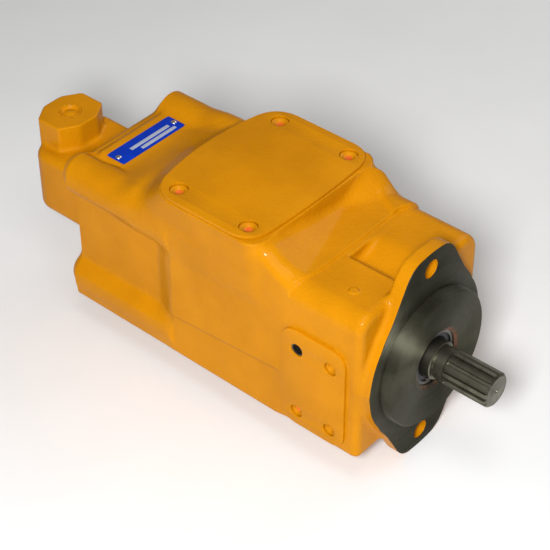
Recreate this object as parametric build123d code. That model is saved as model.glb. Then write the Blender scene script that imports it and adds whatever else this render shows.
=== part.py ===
"""Variable-displacement axial piston pump with SAE ports and a two-bolt SAE C mounting flange.

Row frame, in millimetres: the origin is the centre of the flange's mounting face on the
shaft axis.  +X runs out of the drive end, +Z is up through the large inlet port, and the
outlet port is on the -Y side.  The pump is drawn at zero stroke, with its swash plate square
to the shaft.
"""
from build123d import *
import math
import os

# ---------------------------------------------------------------- mounting flange, SAE C two-bolt
FLANGE_THICK = 14.5
FLANGE_R = 74.5
EAR_TIP_R = 107.0
EAR_ROOT = (57.5, 46.0)
EAR_TOP = (25.0, 106.0)
MOUNT_SPACING = 181.0
MOUNT_HOLE_R = 8.75
PILOT_R = 63.5
PILOT_LEN = 12.7

# ---------------------------------------------------------------- ports, SAE J518 four-bolt
INLET_X = -177.2
INLET_BOLT_X = 77.8
INLET_BOLT_Y = 130.2
INLET_BORE_R = 50.8
INLET_SCREW_R = 8.0
INLET_FACE_Z = 99.9
OUTLET_X = -55.7
OUTLET_Z = -20.5
OUTLET_BOLT_X = 35.7
OUTLET_BOLT_Z = 69.9
OUTLET_BORE_R = 19.0
OUTLET_SCREW_R = 6.0
OUTLET_TAP_DEPTH = 10.0
PLATE_THICK = 3.0

# ---------------------------------------------------------------- castings
HALF_WIDTH = 77.5
BOTTOM_Z = -77.0
TOP_Z = 78.0
FRONT_X = -12.0
JOINT_X = -92.0
REAR_X = -344.0
STEP_X = -75.0
STEP_RISE = 2.5
PAD_FRONT_X = -117.0
PAD_REAR_X = -238.0
PAD_HALF_WIDTH = 82.5
PAD_ROOT_Z = 35.0
LAND_Z = 71.5
LAND_HALF_WIDTH = 46.0
NAMEPLATE_X = (-328.0, -306.5)
NAMEPLATE_Y = (-42.0, 37.7)
NAMEPLATE_THICK = 0.8
RIVET_R = 1.6
RIVET_INSET = 4.2
PANEL_X = -222.0
PANEL_DEPTH = 7.0
PANEL_TOP_Z = 46.0
PANEL_BOTTOM_Z = -46.0
CAVITY_R = 64.0
POCKET_HALF_WIDTH = 17.0
POCKET_DEPTH = 11.0

# ---------------------------------------------------------------- tie bolts through the four corners
TIE_Y = 59.5
TIE_Z = 56.0
TIE_BOSS_R = 19.0
TIE_BOLT_R = 6.0
TIE_HOLE_R = 6.6
TIE_HEAD_R = 9.0
TIE_HEAD_LEN = 7.0
TIE_HEAD_GAP = 0.3
TIE_END_X = -52.0

# ---------------------------------------------------------------- rear cover with pressure compensator
COVER_PLATE = 12.0
BLOCK_REAR_X = -433.8
BLOCK_HALF_WIDTH = 44.0
BLOCK_TOP_Z = 31.5
BLOCK_BOTTOM_Z = -33.5
BLOCK_CORNER_R = 20.0
BLOCK_EDGE_R = 6.0
BOSS_X = -420.0
BOSS_SIDE_CORNER = (24.8, 11.0)
BOSS_END_CORNER = (13.5, 28.8)
BOSS_CORNER_R = 3.0
BOSS_TOP_Z = 57.0
BOSS_FOOT_Z = 31.0
BOSS_UNDERCUT = 17.0
PORT_R = 10.0
PORT_DEPTH = 18.0
SPOOL_X = -392.0
SPOOL_R = 6.0
SPOOL_BORE_R = 6.05
SPRING_CHAMBER_R = 9.5
SPOOL_BORE_START_Y = 12.0 - BLOCK_HALF_WIDTH
SPOOL_START_Y = SPOOL_BORE_START_Y + 1.0
SPOOL_LAND = 12.0
SPOOL_LEN = 36.0
SEAT_Y = SPOOL_START_Y + SPOOL_LEN
SEAT_STEM = 3.0
SEAT_DISC = 2.0
SEAT_CLEARANCE = 1.0
CHAMBER_START_Y = SEAT_Y + SEAT_STEM - SEAT_CLEARANCE
PLUG_DEPTH = 12.0
ADJUSTER_REACH = 14.0

# ---------------------------------------------------------------- shaft
SPLINE_TEETH = 14
SPLINE_R = 15.88
SPLINE_ROOT_R = 13.9
SHAFT_END_X = 72.0
SPLINE_START_X = 27.0
NECK_R = 15.3
COLLAR_R = 17.5
COLLAR_END_X = 15.5
SHAFT_BODY_R = 16.0
BLOCK_SPLINE_R = 17.4
REAR_JOURNAL_R = 12.5
SHAFT_REAR_X = -341.0

# ---------------------------------------------------------------- shaft seal and bearings
SEAL_BORE_R = 26.0
SEAL_X = (-1.0, 7.0)
FRONT_BEARING_X = (-24.0, -4.0)
FRONT_BEARING_R = (17.5, 20.5, 23.5, 26.0)
REAR_BEARING_X = (-340.0, -324.0)
REAR_BEARING_R = (12.5, 16.5, 21.5, 26.0)
BEARING_GAP = 0.03

# ---------------------------------------------------------------- rotating group
PISTON_COUNT = 9
PITCH_R = 33.0
PISTON_R = 8.5
BLOCK_R = 46.0
BLOCK_X = (-177.0, -97.2)
BLOCK_BORE_END_X = -110.0
BALL_X = -213.0
BALL_R = 6.5
NECK_PISTON_R = 4.6
PISTON_FRONT_X = -136.0
SLIPPER_R = 10.3
SLIPPER_NECK_R = 8.0
SLIPPER_BASE = 4.0
RETAINER_THICK = 4.0
RETAINER_R = 44.0
GUIDE_R = 21.0
GUIDE_STEM_R = 20.5
VALVE_PLATE_R = 60.0
VALVE_PLATE_THICK = 5.0
DOWEL_R = 2.5
DOWEL_PITCH_R = 52.0
DOWEL_ANGLES = (45, 225)
KIDNEY_HALF_ANGLE = 52
KIDNEY_HALF_WIDTH = 5.5

# ---------------------------------------------------------------- swash plate and its control
SWASH_X = -225.0
GUIDE_CENTRE_X = SWASH_X + 0.1 + SLIPPER_BASE - 8.0
SWASH_THICK = 18.0
SWASH_R = 50.0
SWASH_HOLE_R = 25.0
WEAR_PLATE_THICK = 3.0
WEAR_PLATE_R = 45.0
PIVOT_X = -236.0
PIVOT_Z = -46.0
TRUNNION_R = 10.0
SADDLE_R = 12.5
SADDLE_Y = (24.0, 38.0)
SADDLE_GAP = 0.05
CONTROL_Z = 48.0
CONTROL_R = 9.0
CONTROL_SLEEVE_R = 12.5
CONTROL_GAP = 0.04
BIAS_Z = 54.0
BIAS_TIP_R = 6.0
BIAS_ROD_R = 3.5
BIAS_GUIDE_R = 6.4
CONTACT_GAP = 0.3


# ================================================================= helpers
def cyl_x(radius, x0, x1, y=0.0, z=0.0):
    """Round bar along X from x0 to x1."""
    bar = Cylinder(radius, abs(x1 - x0))
    return Pos((x0 + x1) / 2, y, z) * Rot(0, 90, 0) * bar


def cyl_y(radius, y0, y1, x=0.0, z=0.0):
    """Round bar along Y from y0 to y1."""
    bar = Cylinder(radius, abs(y1 - y0))
    return Pos(x, (y0 + y1) / 2, z) * Rot(90, 0, 0) * bar


def cyl_z(radius, z0, z1, x=0.0, y=0.0):
    """Round bar along Z from z0 to z1."""
    bar = Cylinder(radius, abs(z1 - z0))
    return Pos(x, y, (z0 + z1) / 2) * bar


def block(x0, x1, y0, y1, z0, z1):
    """Box between two opposite corners."""
    size = (abs(x1 - x0), abs(y1 - y0), abs(z1 - z0))
    return Pos((x0 + x1) / 2, (y0 + y1) / 2, (z0 + z1) / 2) * Box(*size)


def ring_x(outer, inner, x0, x1, y=0.0, z=0.0):
    """Plain ring along X."""
    margin = 1.0
    return cyl_x(outer, x0, x1, y, z) - cyl_x(inner, x0 - margin, x1 + margin, y, z)


def extrude_yz(sketch, x0, x1):
    """Extrude a sketch drawn as (y, z) from x0 to x1."""
    return extrude(Plane.YZ.offset(x0) * sketch, x1 - x0)


def extrude_xz(points, y0, y1):
    """Extrude a closed outline of (x, z) points from y0 to y1."""
    flat = make_face(Polyline(*[(x, z) for x, z in points], close=True))
    return extrude(Plane((0, y1, 0), x_dir=(1, 0, 0), z_dir=(0, -1, 0)) * flat, y1 - y0)


def turned(points):
    """Turn a profile of (x, radius) points about the shaft axis."""
    flat = make_face(Polyline(*points, close=True))
    return revolve(flat, Axis.X)


def about_shaft(shape, angle):
    """Turn a shape about the shaft axis."""
    return Rot(angle, 0, 0) * shape


def coil_x(radius, wire_r, x0, x1, turns, y=0.0, z=0.0):
    """Round-wire compression spring along X."""
    length = abs(x1 - x0) - 2 * wire_r
    path = Helix(pitch=length / turns, height=length, radius=radius)
    section = Plane(path @ 0, z_dir=path % 0) * Circle(wire_r)
    spring = sweep(section, path)
    return Pos(min(x0, x1) + wire_r, y, z) * Rot(0, 90, 0) * spring


def dowel_places():
    """The two valve-plate dowel centres, as (y, z)."""
    turns = [math.radians(angle) for angle in DOWEL_ANGLES]
    return [(DOWEL_PITCH_R * math.cos(turn), DOWEL_PITCH_R * math.sin(turn)) for turn in turns]


def rivet_places():
    """The two name-plate rivet centres, as (x, y)."""
    x = sum(NAMEPLATE_X) / 2
    return [(x, NAMEPLATE_Y[0] + RIVET_INSET), (x, NAMEPLATE_Y[1] - RIVET_INSET)]


def corner_places():
    """The four tie-bolt centres, as (y, z)."""
    return [(y, z) for y in (-TIE_Y, TIE_Y) for z in (-TIE_Z, TIE_Z)]


def inlet_bolt_places():
    """The four inlet-port screw centres, as (x, y)."""
    half_x, half_y = INLET_BOLT_X / 2, INLET_BOLT_Y / 2
    return [(INLET_X + i * half_x, j * half_y) for i in (-1, 1) for j in (-1, 1)]


def outlet_bolt_places():
    """The four outlet-port screw centres, as (x, z)."""
    half_x, half_z = OUTLET_BOLT_X / 2, OUTLET_BOLT_Z / 2
    return [(OUTLET_X + i * half_x, OUTLET_Z + j * half_z) for i in (-1, 1) for j in (-1, 1)]


# ================================================================= castings
def rounded_bar(x0, x1, half_width, bottom, top, r_top, r_bottom):
    """Bar along X whose long edges are rounded."""
    bar = block(x0, x1, -half_width, half_width, bottom, top)
    long_edges = bar.edges().filter_by(Axis.X)
    upper = long_edges.filter_by(lambda e: e.center().Z > 0)
    bar = fillet(upper, r_top)
    lower = bar.edges().filter_by(Axis.X).filter_by(lambda e: e.center().Z < bottom + 1)
    lower = lower.filter_by(lambda e: abs(e.center().Y) > half_width - 1)
    return fillet(lower, r_bottom)


def flange_sketch():
    """Round SAE flange with an ear above and an ear below, as (y, z)."""
    (root_y, root_z), (top_y, top_z) = EAR_ROOT, EAR_TOP
    reach = EAR_TIP_R + 5
    ear = Polygon((root_y, root_z), (top_y, top_z), (top_y - 3, reach), (3 - top_y, reach),
                  (-top_y, top_z), (-root_y, root_z), (0, 0), align=None)
    ears = (ear + Rot(0, 0, 180) * ear) & Circle(EAR_TIP_R)
    outline = Circle(FLANGE_R) + ears
    corners = outline.vertices().filter_by(lambda v: math.hypot(v.X, v.Y) > EAR_TIP_R - 6)
    return fillet(corners, 7)


def side_port_cut():
    """Outlet port bore, its passage to the valve plate, and the screw holes."""
    cut = cyl_y(OUTLET_BORE_R, -HALF_WIDTH - 1, -PITCH_R, OUTLET_X, OUTLET_Z)
    for x, z in outlet_bolt_places():
        cut += cyl_y(OUTLET_SCREW_R, -HALF_WIDTH - 1, -HALF_WIDTH + OUTLET_TAP_DEPTH, x, z)
    return cut


def kidney_cut(side, x0, x1, half_width, half_angle):
    """Arc-shaped slot on the pitch circle, on the +Y or -Y side."""
    slot = SlotArc(CenterArc((0, 0), PITCH_R, -half_angle + (180 if side < 0 else 0), 2 * half_angle),
                   2 * half_width)
    return extrude_yz(slot, x0, x1)


def make_front_housing():
    """Port block with the mounting flange, the shaft seal bore and the side outlet port."""
    body = rounded_bar(JOINT_X, FRONT_X, HALF_WIDTH, BOTTOM_Z, TOP_Z, 13, 8)
    front_edges = body.edges().filter_by(Axis.Z).filter_by(lambda e: e.center().X > FRONT_X - 1)
    body = fillet(front_edges, 4)
    step_top = TOP_Z + STEP_RISE
    rise = (INLET_FACE_Z - step_top) * (STEP_X - JOINT_X) / (STEP_X - PAD_FRONT_X)
    wedge = extrude_xz([(JOINT_X, 40), (JOINT_X, step_top + rise), (STEP_X, step_top), (STEP_X, 40)],
                       -HALF_WIDTH, HALF_WIDTH)
    wedge &= rounded_bar(JOINT_X, STEP_X, HALF_WIDTH, 0, step_top + rise, 16, 1)
    body += wedge
    pocket = block(-70, -FLANGE_THICK, -POCKET_HALF_WIDTH, POCKET_HALF_WIDTH,
                   TOP_Z - POCKET_DEPTH, TOP_Z + 5)
    pocket = fillet(pocket.edges().filter_by(lambda e: e.center().Z < TOP_Z - POCKET_DEPTH + 1
                                             and e.center().X < -FLANGE_THICK - 1), 8)
    body -= pocket
    body += extrude_yz(flange_sketch(), -FLANGE_THICK, 0)
    pilot = cyl_x(PILOT_R, -1, PILOT_LEN)
    body += chamfer(pilot.edges().filter_by(lambda e: e.center().X > PILOT_LEN - 0.1), 1.2)
    for z in (-MOUNT_SPACING / 2, MOUNT_SPACING / 2):
        body -= cyl_x(MOUNT_HOLE_R, -30, 5, 0, z)
    body -= cyl_x(SEAL_BORE_R, FRONT_BEARING_X[0], PILOT_LEN + 1)
    body -= cyl_x(COLLAR_R + 2, JOINT_X - 1, FRONT_BEARING_X[0] + 1)
    body -= ring_x(SEAL_BORE_R + 1.4, SEAL_BORE_R - 1, 7.2, 9.0)
    body -= side_port_cut()
    body -= kidney_cut(-1, JOINT_X - 1, OUTLET_X + 12, KIDNEY_HALF_WIDTH + 1, KIDNEY_HALF_ANGLE)
    body -= kidney_cut(1, JOINT_X - 1, JOINT_X + 26, KIDNEY_HALF_WIDTH + 1, KIDNEY_HALF_ANGLE)
    body -= block(JOINT_X - 1, JOINT_X + 24, PITCH_R, CAVITY_R - 2, -14, 14)
    for y, z in corner_places():
        body -= cyl_x(TIE_BOLT_R, JOINT_X - 1, TIE_END_X - 4, y, z)
    for y, z in dowel_places():
        body -= cyl_x(DOWEL_R, JOINT_X - 1, JOINT_X + 8, y, z)
    return body


def pad_mass():
    """Raised body under the inlet pad, leaning out to the pad's full width."""
    x_mid = (PAD_FRONT_X + PAD_REAR_X) / 2
    length = PAD_FRONT_X - PAD_REAR_X
    low = Pos(x_mid, 0, PAD_ROOT_Z) * RectangleRounded(length, 2 * HALF_WIDTH - 0.2, 12)
    high = Pos(x_mid, 0, INLET_FACE_Z) * RectangleRounded(length, 2 * PAD_HALF_WIDTH, 12)
    return loft(Sketch() + [low, high])


def make_main_housing():
    """Pump case: swash plate chamber, inlet port on top, control space behind."""
    body = rounded_bar(REAR_X, JOINT_X, HALF_WIDTH, BOTTOM_Z, 66, 20, 8)
    step_top = TOP_Z + STEP_RISE
    rise = (INLET_FACE_Z - step_top) * (STEP_X - JOINT_X) / (STEP_X - PAD_FRONT_X)
    ramp = extrude_xz([(PAD_FRONT_X - 12, 30), (PAD_FRONT_X - 12, INLET_FACE_Z - 0.3),
                       (PAD_FRONT_X, INLET_FACE_Z - 0.3), (JOINT_X, step_top + rise), (JOINT_X, 30)],
                      -HALF_WIDTH, HALF_WIDTH)
    ramp &= rounded_bar(PAD_FRONT_X - 12, JOINT_X, HALF_WIDTH, 0, INLET_FACE_Z, 22, 1)
    body += ramp
    body += pad_mass()
    body += extrude_xz([(REAR_X, 30), (REAR_X, LAND_Z), (-300, LAND_Z), (-262, LAND_Z + 9),
                        (PAD_REAR_X - 6, INLET_FACE_Z - 4), (PAD_REAR_X + 10, INLET_FACE_Z - 1),
                        (PAD_REAR_X + 10, 30)],
                       -LAND_HALF_WIDTH, LAND_HALF_WIDTH)
    for side in (-1, 1):
        y0, y1 = sorted((side * (HALF_WIDTH + 3), side * (HALF_WIDTH - PANEL_DEPTH)))
        panel = block(REAR_X - 1, PANEL_X, y0, y1, PANEL_BOTTOM_Z, PANEL_TOP_Z)
        body -= panel
    for y, z in corner_places():
        body += cyl_x(TIE_BOSS_R, REAR_X, PANEL_X - 8, y, z)
        body -= cyl_x(TIE_HOLE_R, REAR_X - 1, JOINT_X + 1, y, z)
    body -= cyl_x(CAVITY_R, REAR_X - 1, JOINT_X + 1)
    body -= cyl_z(INLET_BORE_R, 0, INLET_FACE_Z + 1, INLET_X, 0)
    for x, y in inlet_bolt_places():
        body -= cyl_z(INLET_SCREW_R, INLET_FACE_Z - 26, INLET_FACE_Z + 1, x, y)
    groove = cyl_z(INLET_BORE_R + 8, INLET_FACE_Z - 2.2, INLET_FACE_Z + 1, INLET_X, 0)
    body -= groove - cyl_z(INLET_BORE_R + 4, INLET_FACE_Z - 4, INLET_FACE_Z + 2, INLET_X, 0)
    body -= ring_x(CAVITY_R + 6.4, CAVITY_R + 2.8, JOINT_X - 2.4, JOINT_X + 1)
    for side in (-1, 1):
        y0, y1 = sorted((side * SADDLE_Y[0], side * SADDLE_Y[1]))
        body += block(PIVOT_X - 34, PIVOT_X, y0, y1, -CAVITY_R - 2, PIVOT_Z + SADDLE_R)
        body -= cyl_y(SADDLE_R, y0 - 0.4, y1 + 0.4, PIVOT_X, PIVOT_Z)
    for x, y in rivet_places():
        body -= cyl_z(RIVET_R, LAND_Z - 6, LAND_Z + 1, x, y)
    return body


def cover_plate_sketch():
    """Rear cover outline: a square plate with a round ear over each tie bolt, as (y, z)."""
    plate = RectangleRounded(2 * (TIE_Y + 6), 2 * (TIE_Z + 12), 12)
    ears = [Pos(y, z) * Circle(TIE_BOSS_R) for y, z in corner_places()]
    return plate + ears


def port_boss_sketch():
    """Octagonal outline of the rear port boss, longer across the shaft than along it."""
    quarter = [BOSS_SIDE_CORNER, BOSS_END_CORNER]
    half = quarter + [(-x, y) for x, y in reversed(quarter)]
    corners = half + [(-x, -y) for x, y in half]
    return Polygon(*corners, align=None)


def make_port_boss():
    """Upright octagonal boss, undercut where it overhangs the block's rear face."""
    outline = port_boss_sketch()
    foot = Pos(BOSS_X, 0, BOSS_FOOT_Z)
    boss = extrude(foot * fillet(outline.vertices(), BOSS_CORNER_R), BOSS_TOP_Z - BOSS_FOOT_Z)
    boss = chamfer(boss.edges().filter_by(lambda e: e.center().Z > BOSS_TOP_Z - 0.1), 1.5)
    return boss + extrude(foot * outline, -BOSS_UNDERCUT, taper=45)


def make_rear_cover():
    """Rear cover with the compensator block and an octagonal port boss on top."""
    body = extrude_yz(cover_plate_sketch(), REAR_X - COVER_PLATE, REAR_X)
    core = block(BLOCK_REAR_X, REAR_X - 1, -BLOCK_HALF_WIDTH, BLOCK_HALF_WIDTH,
                 BLOCK_BOTTOM_Z, BLOCK_TOP_Z)
    core = fillet(core.edges().filter_by(Axis.Z).filter_by(lambda e: e.center().X < REAR_X - 9),
                  BLOCK_CORNER_R)
    core = fillet(core.edges().filter_by(lambda e: (e.center().Z > BLOCK_TOP_Z - 1
                                                    or e.center().Z < BLOCK_BOTTOM_Z + 1)
                                         and e.center().X < REAR_X - 3), BLOCK_EDGE_R)
    body += core
    body += make_port_boss()
    body += cyl_x(34, REAR_X - 1, REAR_BEARING_X[1])
    for y, z in corner_places():
        body -= cyl_x(TIE_HOLE_R, REAR_X - COVER_PLATE - 1, REAR_X + 1, y, z)
        body -= cyl_x(TIE_HEAD_R + TIE_HEAD_GAP, REAR_X - COVER_PLATE - 1,
                      REAR_X - COVER_PLATE + TIE_HEAD_LEN, y, z)
    body -= cyl_x(REAR_BEARING_R[3], REAR_BEARING_X[0], REAR_BEARING_X[1] + 1)
    body -= cyl_x(REAR_JOURNAL_R + 2, SHAFT_REAR_X - 3, REAR_BEARING_X[1])
    body -= cyl_x(CONTROL_SLEEVE_R + 0.05, REAR_X - 6, REAR_X + 1, 0, CONTROL_Z)
    body -= cyl_x(3, SPOOL_X, REAR_X, 0, CONTROL_Z - 30)
    body -= cyl_z(3, CONTROL_Z - 30, CONTROL_Z, REAR_X - 5, 0)
    body -= cyl_z(PORT_R, BOSS_TOP_Z - PORT_DEPTH, BOSS_TOP_Z + 1, BOSS_X, 0)
    body -= cyl_y(SPOOL_BORE_R, SPOOL_BORE_START_Y, BLOCK_HALF_WIDTH, SPOOL_X, 0)
    body -= cyl_y(SPRING_CHAMBER_R, CHAMBER_START_Y, BLOCK_HALF_WIDTH + 1, SPOOL_X, 0)
    return body


# ================================================================= port covers, name plate, screws
def make_inlet_cover_plate():
    """Blanking plate over the inlet port, with straight sides and bowed ends."""
    half_x = 54.5
    bow = 12.0
    half_y = 81.0
    front = ThreePointArc((half_x, -half_y), (half_x + 4, 0), (half_x, half_y))
    top = Line((half_x, half_y), (-half_x, half_y))
    rear = ThreePointArc((-half_x, half_y), (-half_x - bow, 0), (-half_x, -half_y))
    base = Line((-half_x, -half_y), (half_x, -half_y))
    flat = fillet(make_face([front, top, rear, base]).vertices(), 14)
    plate = extrude(Pos(INLET_X, 0, INLET_FACE_Z) * flat, PLATE_THICK)
    for x, y in inlet_bolt_places():
        plate -= cyl_z(INLET_SCREW_R + 0.7, INLET_FACE_Z - 1, INLET_FACE_Z + PLATE_THICK + 1, x, y)
    return plate


def make_outlet_cover_plate():
    """Blanking plate over the outlet port, with one bowed end."""
    left, right = -88.5, -22.5
    low, high = -75.0, 39.5
    bow = ThreePointArc((left, low), (left - 3, (low + high) / 2), (left, high))
    top = Line((left, high), (right, high))
    end = Line((right, high), (right, low))
    base = Line((right, low), (left, low))
    flat = fillet(make_face([bow, top, end, base]).vertices(), 9)
    face = Plane((0, -HALF_WIDTH, 0), x_dir=(1, 0, 0), z_dir=(0, -1, 0))
    plate = extrude(face * flat, PLATE_THICK)
    for x, z in outlet_bolt_places():
        plate -= cyl_y(OUTLET_SCREW_R + 0.6, -HALF_WIDTH - PLATE_THICK - 1, -HALF_WIDTH + 1, x, z)
    return plate


def socket_set_screw(radius, length, socket_r):
    """Screw along Z with a hexagon socket in its top, whose top is at z = 0."""
    screw = cyl_z(radius, -length, 0)
    socket = extrude(Pos(0, 0, -0.45 * length) * RegularPolygon(socket_r, 6), length)
    screw -= socket
    return chamfer(screw.edges().filter_by(GeomType.CIRCLE).group_by(Axis.Z)[-1], 0.6)


def make_inlet_plate_screws():
    """Four recessed socket screws of the inlet plate."""
    screw = socket_set_screw(INLET_SCREW_R, 22, 4.6)
    top = INLET_FACE_Z + PLATE_THICK - 1.8
    return Compound([Pos(x, y, top) * screw for x, y in inlet_bolt_places()])


def make_outlet_plate_screws():
    """Three recessed socket screws of the outlet plate; its upper rear hole is open."""
    screw = Rot(90, 0, 0) * socket_set_screw(OUTLET_SCREW_R, 11, 3.4)
    face = -HALF_WIDTH - PLATE_THICK + 1.4
    places = outlet_bolt_places()
    open_hole = (min(x for x, z in places), max(z for x, z in places))
    return Compound([Pos(x, face, z) * screw for x, z in places if (x, z) != open_hole])


def make_nameplate():
    """Thin name plate on the rear land."""
    plate = block(*NAMEPLATE_X, *NAMEPLATE_Y, LAND_Z, LAND_Z + NAMEPLATE_THICK)
    for x, y in rivet_places():
        plate -= cyl_z(RIVET_R + 0.1, LAND_Z - 1, LAND_Z + 2, x, y)
    return plate


def make_nameplate_rivets():
    """Two drive rivets with domed heads."""
    rivets = []
    seat = LAND_Z + NAMEPLATE_THICK
    for x, y in rivet_places():
        shank = cyl_z(RIVET_R, LAND_Z - 5, seat, x, y)
        dome = Pos(x, y, seat - 2.4) * Sphere(4.0)
        rivets.append(shank + (dome & cyl_z(2 * RIVET_R, seat, seat + 3, x, y)))
    return Compound(rivets)


def make_tie_bolts():
    """Four long low-head bolts, sunk in the rear cover, that hold the three castings together."""
    seat = REAR_X - COVER_PLATE + TIE_HEAD_LEN
    bolts = []
    for y, z in corner_places():
        bolt = cyl_x(TIE_BOLT_R - 0.1, seat, TIE_END_X - 6, y, z)
        bolt += cyl_x(TIE_HEAD_R, seat - TIE_HEAD_LEN, seat, y, z)
        socket = extrude_yz(Pos(y, z) * RegularPolygon(4.6, 6), seat - TIE_HEAD_LEN - 1, seat - 2.5)
        bolts.append(bolt - socket)
    return Compound(bolts)


def make_inlet_plate_seal():
    """O-ring under the inlet plate."""
    return Pos(INLET_X, 0, INLET_FACE_Z - 1.05) * Torus(INLET_BORE_R + 6, 1.0)


def make_case_joint_seal():
    """O-ring between the case and the front housing."""
    return Pos(JOINT_X - 1.2, 0, 0) * Rot(0, 90, 0) * Torus(CAVITY_R + 4.6, 1.15)


def make_rear_port_plug():
    """Plug in the rear boss, with a round driving recess."""
    plug = cyl_z(PORT_R - 0.05, BOSS_TOP_Z - PORT_DEPTH + 2, BOSS_TOP_Z - 2)
    recess = extrude(Pos(0, 0, BOSS_TOP_Z - 8) * RegularPolygon(5.6, 6), 10)
    return Pos(BOSS_X, 0, 0) * (plug - recess)


# ================================================================= shaft, seal and bearings
def spline_cutter(root_r, tip_r, teeth, x0, x1):
    """Spaces between the teeth of an external spline."""
    pitch = 360 / teeth
    width = math.pi * (root_r + tip_r) / teeth / 2
    gap = Polygon((root_r, -0.36 * width), (tip_r + 1, -0.66 * width), (tip_r + 1, 0.66 * width),
                  (root_r, 0.36 * width), align=None)
    tool = extrude_yz(gap, x0, x1)
    return [about_shaft(tool, i * pitch) for i in range(teeth)]


def make_drive_shaft():
    """Stepped shaft with an output spline and a spline under the cylinder block."""
    profile = [
        (SHAFT_REAR_X, 0), (SHAFT_REAR_X, REAR_JOURNAL_R - 1), (SHAFT_REAR_X + 1, REAR_JOURNAL_R),
        (REAR_BEARING_X[1] + 2, REAR_JOURNAL_R), (REAR_BEARING_X[1] + 2, SHAFT_BODY_R),
        (BLOCK_X[0] + 20, SHAFT_BODY_R), (BLOCK_X[0] + 20, BLOCK_SPLINE_R),
        (BLOCK_X[1] - 20, BLOCK_SPLINE_R), (BLOCK_X[1] - 20, SHAFT_BODY_R),
        (FRONT_BEARING_X[0] - 2, SHAFT_BODY_R), (FRONT_BEARING_X[0] - 2, COLLAR_R),
        (COLLAR_END_X, COLLAR_R), (COLLAR_END_X + 0.8, COLLAR_R - 0.8), (COLLAR_END_X + 0.8, NECK_R - 1),
        (COLLAR_END_X + 3, NECK_R - 1), (COLLAR_END_X + 3, NECK_R), (SPLINE_START_X, NECK_R),
        (SPLINE_START_X + 1, SPLINE_R), (SHAFT_END_X - 2, SPLINE_R), (SHAFT_END_X, SPLINE_R - 2),
        (SHAFT_END_X, 0),
    ]
    shaft = turned(profile)
    shaft -= spline_cutter(SPLINE_ROOT_R, SPLINE_R, SPLINE_TEETH, SPLINE_START_X + 1.5, SHAFT_END_X + 1)
    shaft -= Pos(SHAFT_END_X, 0, 0) * Rot(0, 90, 0) * Cone(0.2, 3.4, 7)
    return shaft


def make_bearing(x_range, radii, rollers):
    """Cylindrical roller bearing, as outer race, inner race, rollers and cage."""
    bore, inner, outer, outside = radii
    x0, x1 = x_range
    lip = 2.0
    outer_race = ring_x(outside, outer, x0, x1)
    inner_race = ring_x(inner, bore + 0.02, x0, x1)
    pitch = (inner + outer) / 2
    roller_r = (outer - inner) / 2 - BEARING_GAP
    roller = cyl_x(roller_r, x0 + lip, x1 - lip, 0, pitch)
    set_of_rollers = Compound([about_shaft(roller, 360 * i / rollers) for i in range(rollers)])
    cage = ring_x(pitch + 0.7, pitch - 0.7, x0 + 0.3, x1 - 0.3)
    window = cyl_x(roller_r + 0.15, x0 + lip - 0.2, x1 - lip + 0.2, 0, pitch)
    cage -= [about_shaft(window, 360 * i / rollers) for i in range(rollers)]
    return outer_race, inner_race, set_of_rollers, cage


def make_shaft_seal():
    """Rotary lip seal: a ring with a lip that stops just clear of the collar."""
    x0, x1 = SEAL_X
    lip_r = COLLAR_R + 0.05
    return turned([(x0, SEAL_BORE_R), (x1, SEAL_BORE_R), (x1, lip_r + 1.5), (x1 - 1.5, lip_r + 0.4),
                   (x1 - 2.5, lip_r), (x0 + 2.5, lip_r), (x0 + 1.5, lip_r + 2.2), (x1 - 2, lip_r + 3.4),
                   (x1 - 2, SEAL_BORE_R - 2), (x0, SEAL_BORE_R - 2)])


def make_seal_retaining_ring():
    """Internal retaining ring in front of the seal, open at the bottom."""
    ring = ring_x(SEAL_BORE_R + 1.3, SEAL_BORE_R - 3, 7.3, 8.9)
    ring -= block(7, 9.2, -4, 4, -SEAL_BORE_R - 2, -SEAL_BORE_R + 6)
    for y in (-6.5, 6.5):
        lug = cyl_x(3.0, 7.3, 8.9, y, -SEAL_BORE_R + 4.2) - cyl_x(1.0, 7, 9.2, y, -SEAL_BORE_R + 4.2)
        ring += lug
    return ring


# ================================================================= rotating group
def piston_angles():
    """Angular places of the pistons."""
    return [360 * i / PISTON_COUNT for i in range(PISTON_COUNT)]


def make_cylinder_block():
    """Barrel with one bore for each piston, splined to the shaft."""
    x0, x1 = BLOCK_X
    barrel = turned([(x0, 30), (x0, BLOCK_R - 2), (x0 + 2, BLOCK_R), (x1 - 14, BLOCK_R),
                     (x1 - 8, BLOCK_R - 4), (x1, BLOCK_R - 4), (x1, BLOCK_SPLINE_R + 0.05),
                     (x1 - 60, BLOCK_SPLINE_R + 0.05), (x1 - 60, 24), (x0, 24)])
    bore = cyl_x(PISTON_R + 0.03, x0 - 1, BLOCK_BORE_END_X, 0, PITCH_R)
    port = cyl_x(4.6, BLOCK_BORE_END_X - 1, x1 + 1, 0, PITCH_R)
    for angle in piston_angles():
        barrel -= about_shaft(bore, angle)
        barrel -= about_shaft(port, angle)
    return barrel


def make_pistons():
    """Pistons with a hollow front end and a ball at the swash plate end."""
    body = cyl_x(PISTON_R, BALL_X + 14, PISTON_FRONT_X, 0, PITCH_R)
    body -= cyl_x(4.5, BALL_X + 30, PISTON_FRONT_X + 1, 0, PITCH_R)
    neck = cyl_x(NECK_PISTON_R, BALL_X + 4, BALL_X + 15, 0, PITCH_R)
    ball = Pos(BALL_X, 0, PITCH_R) * Sphere(BALL_R)
    piston = body + neck + ball
    return Compound([about_shaft(piston, angle) for angle in piston_angles()])


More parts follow.
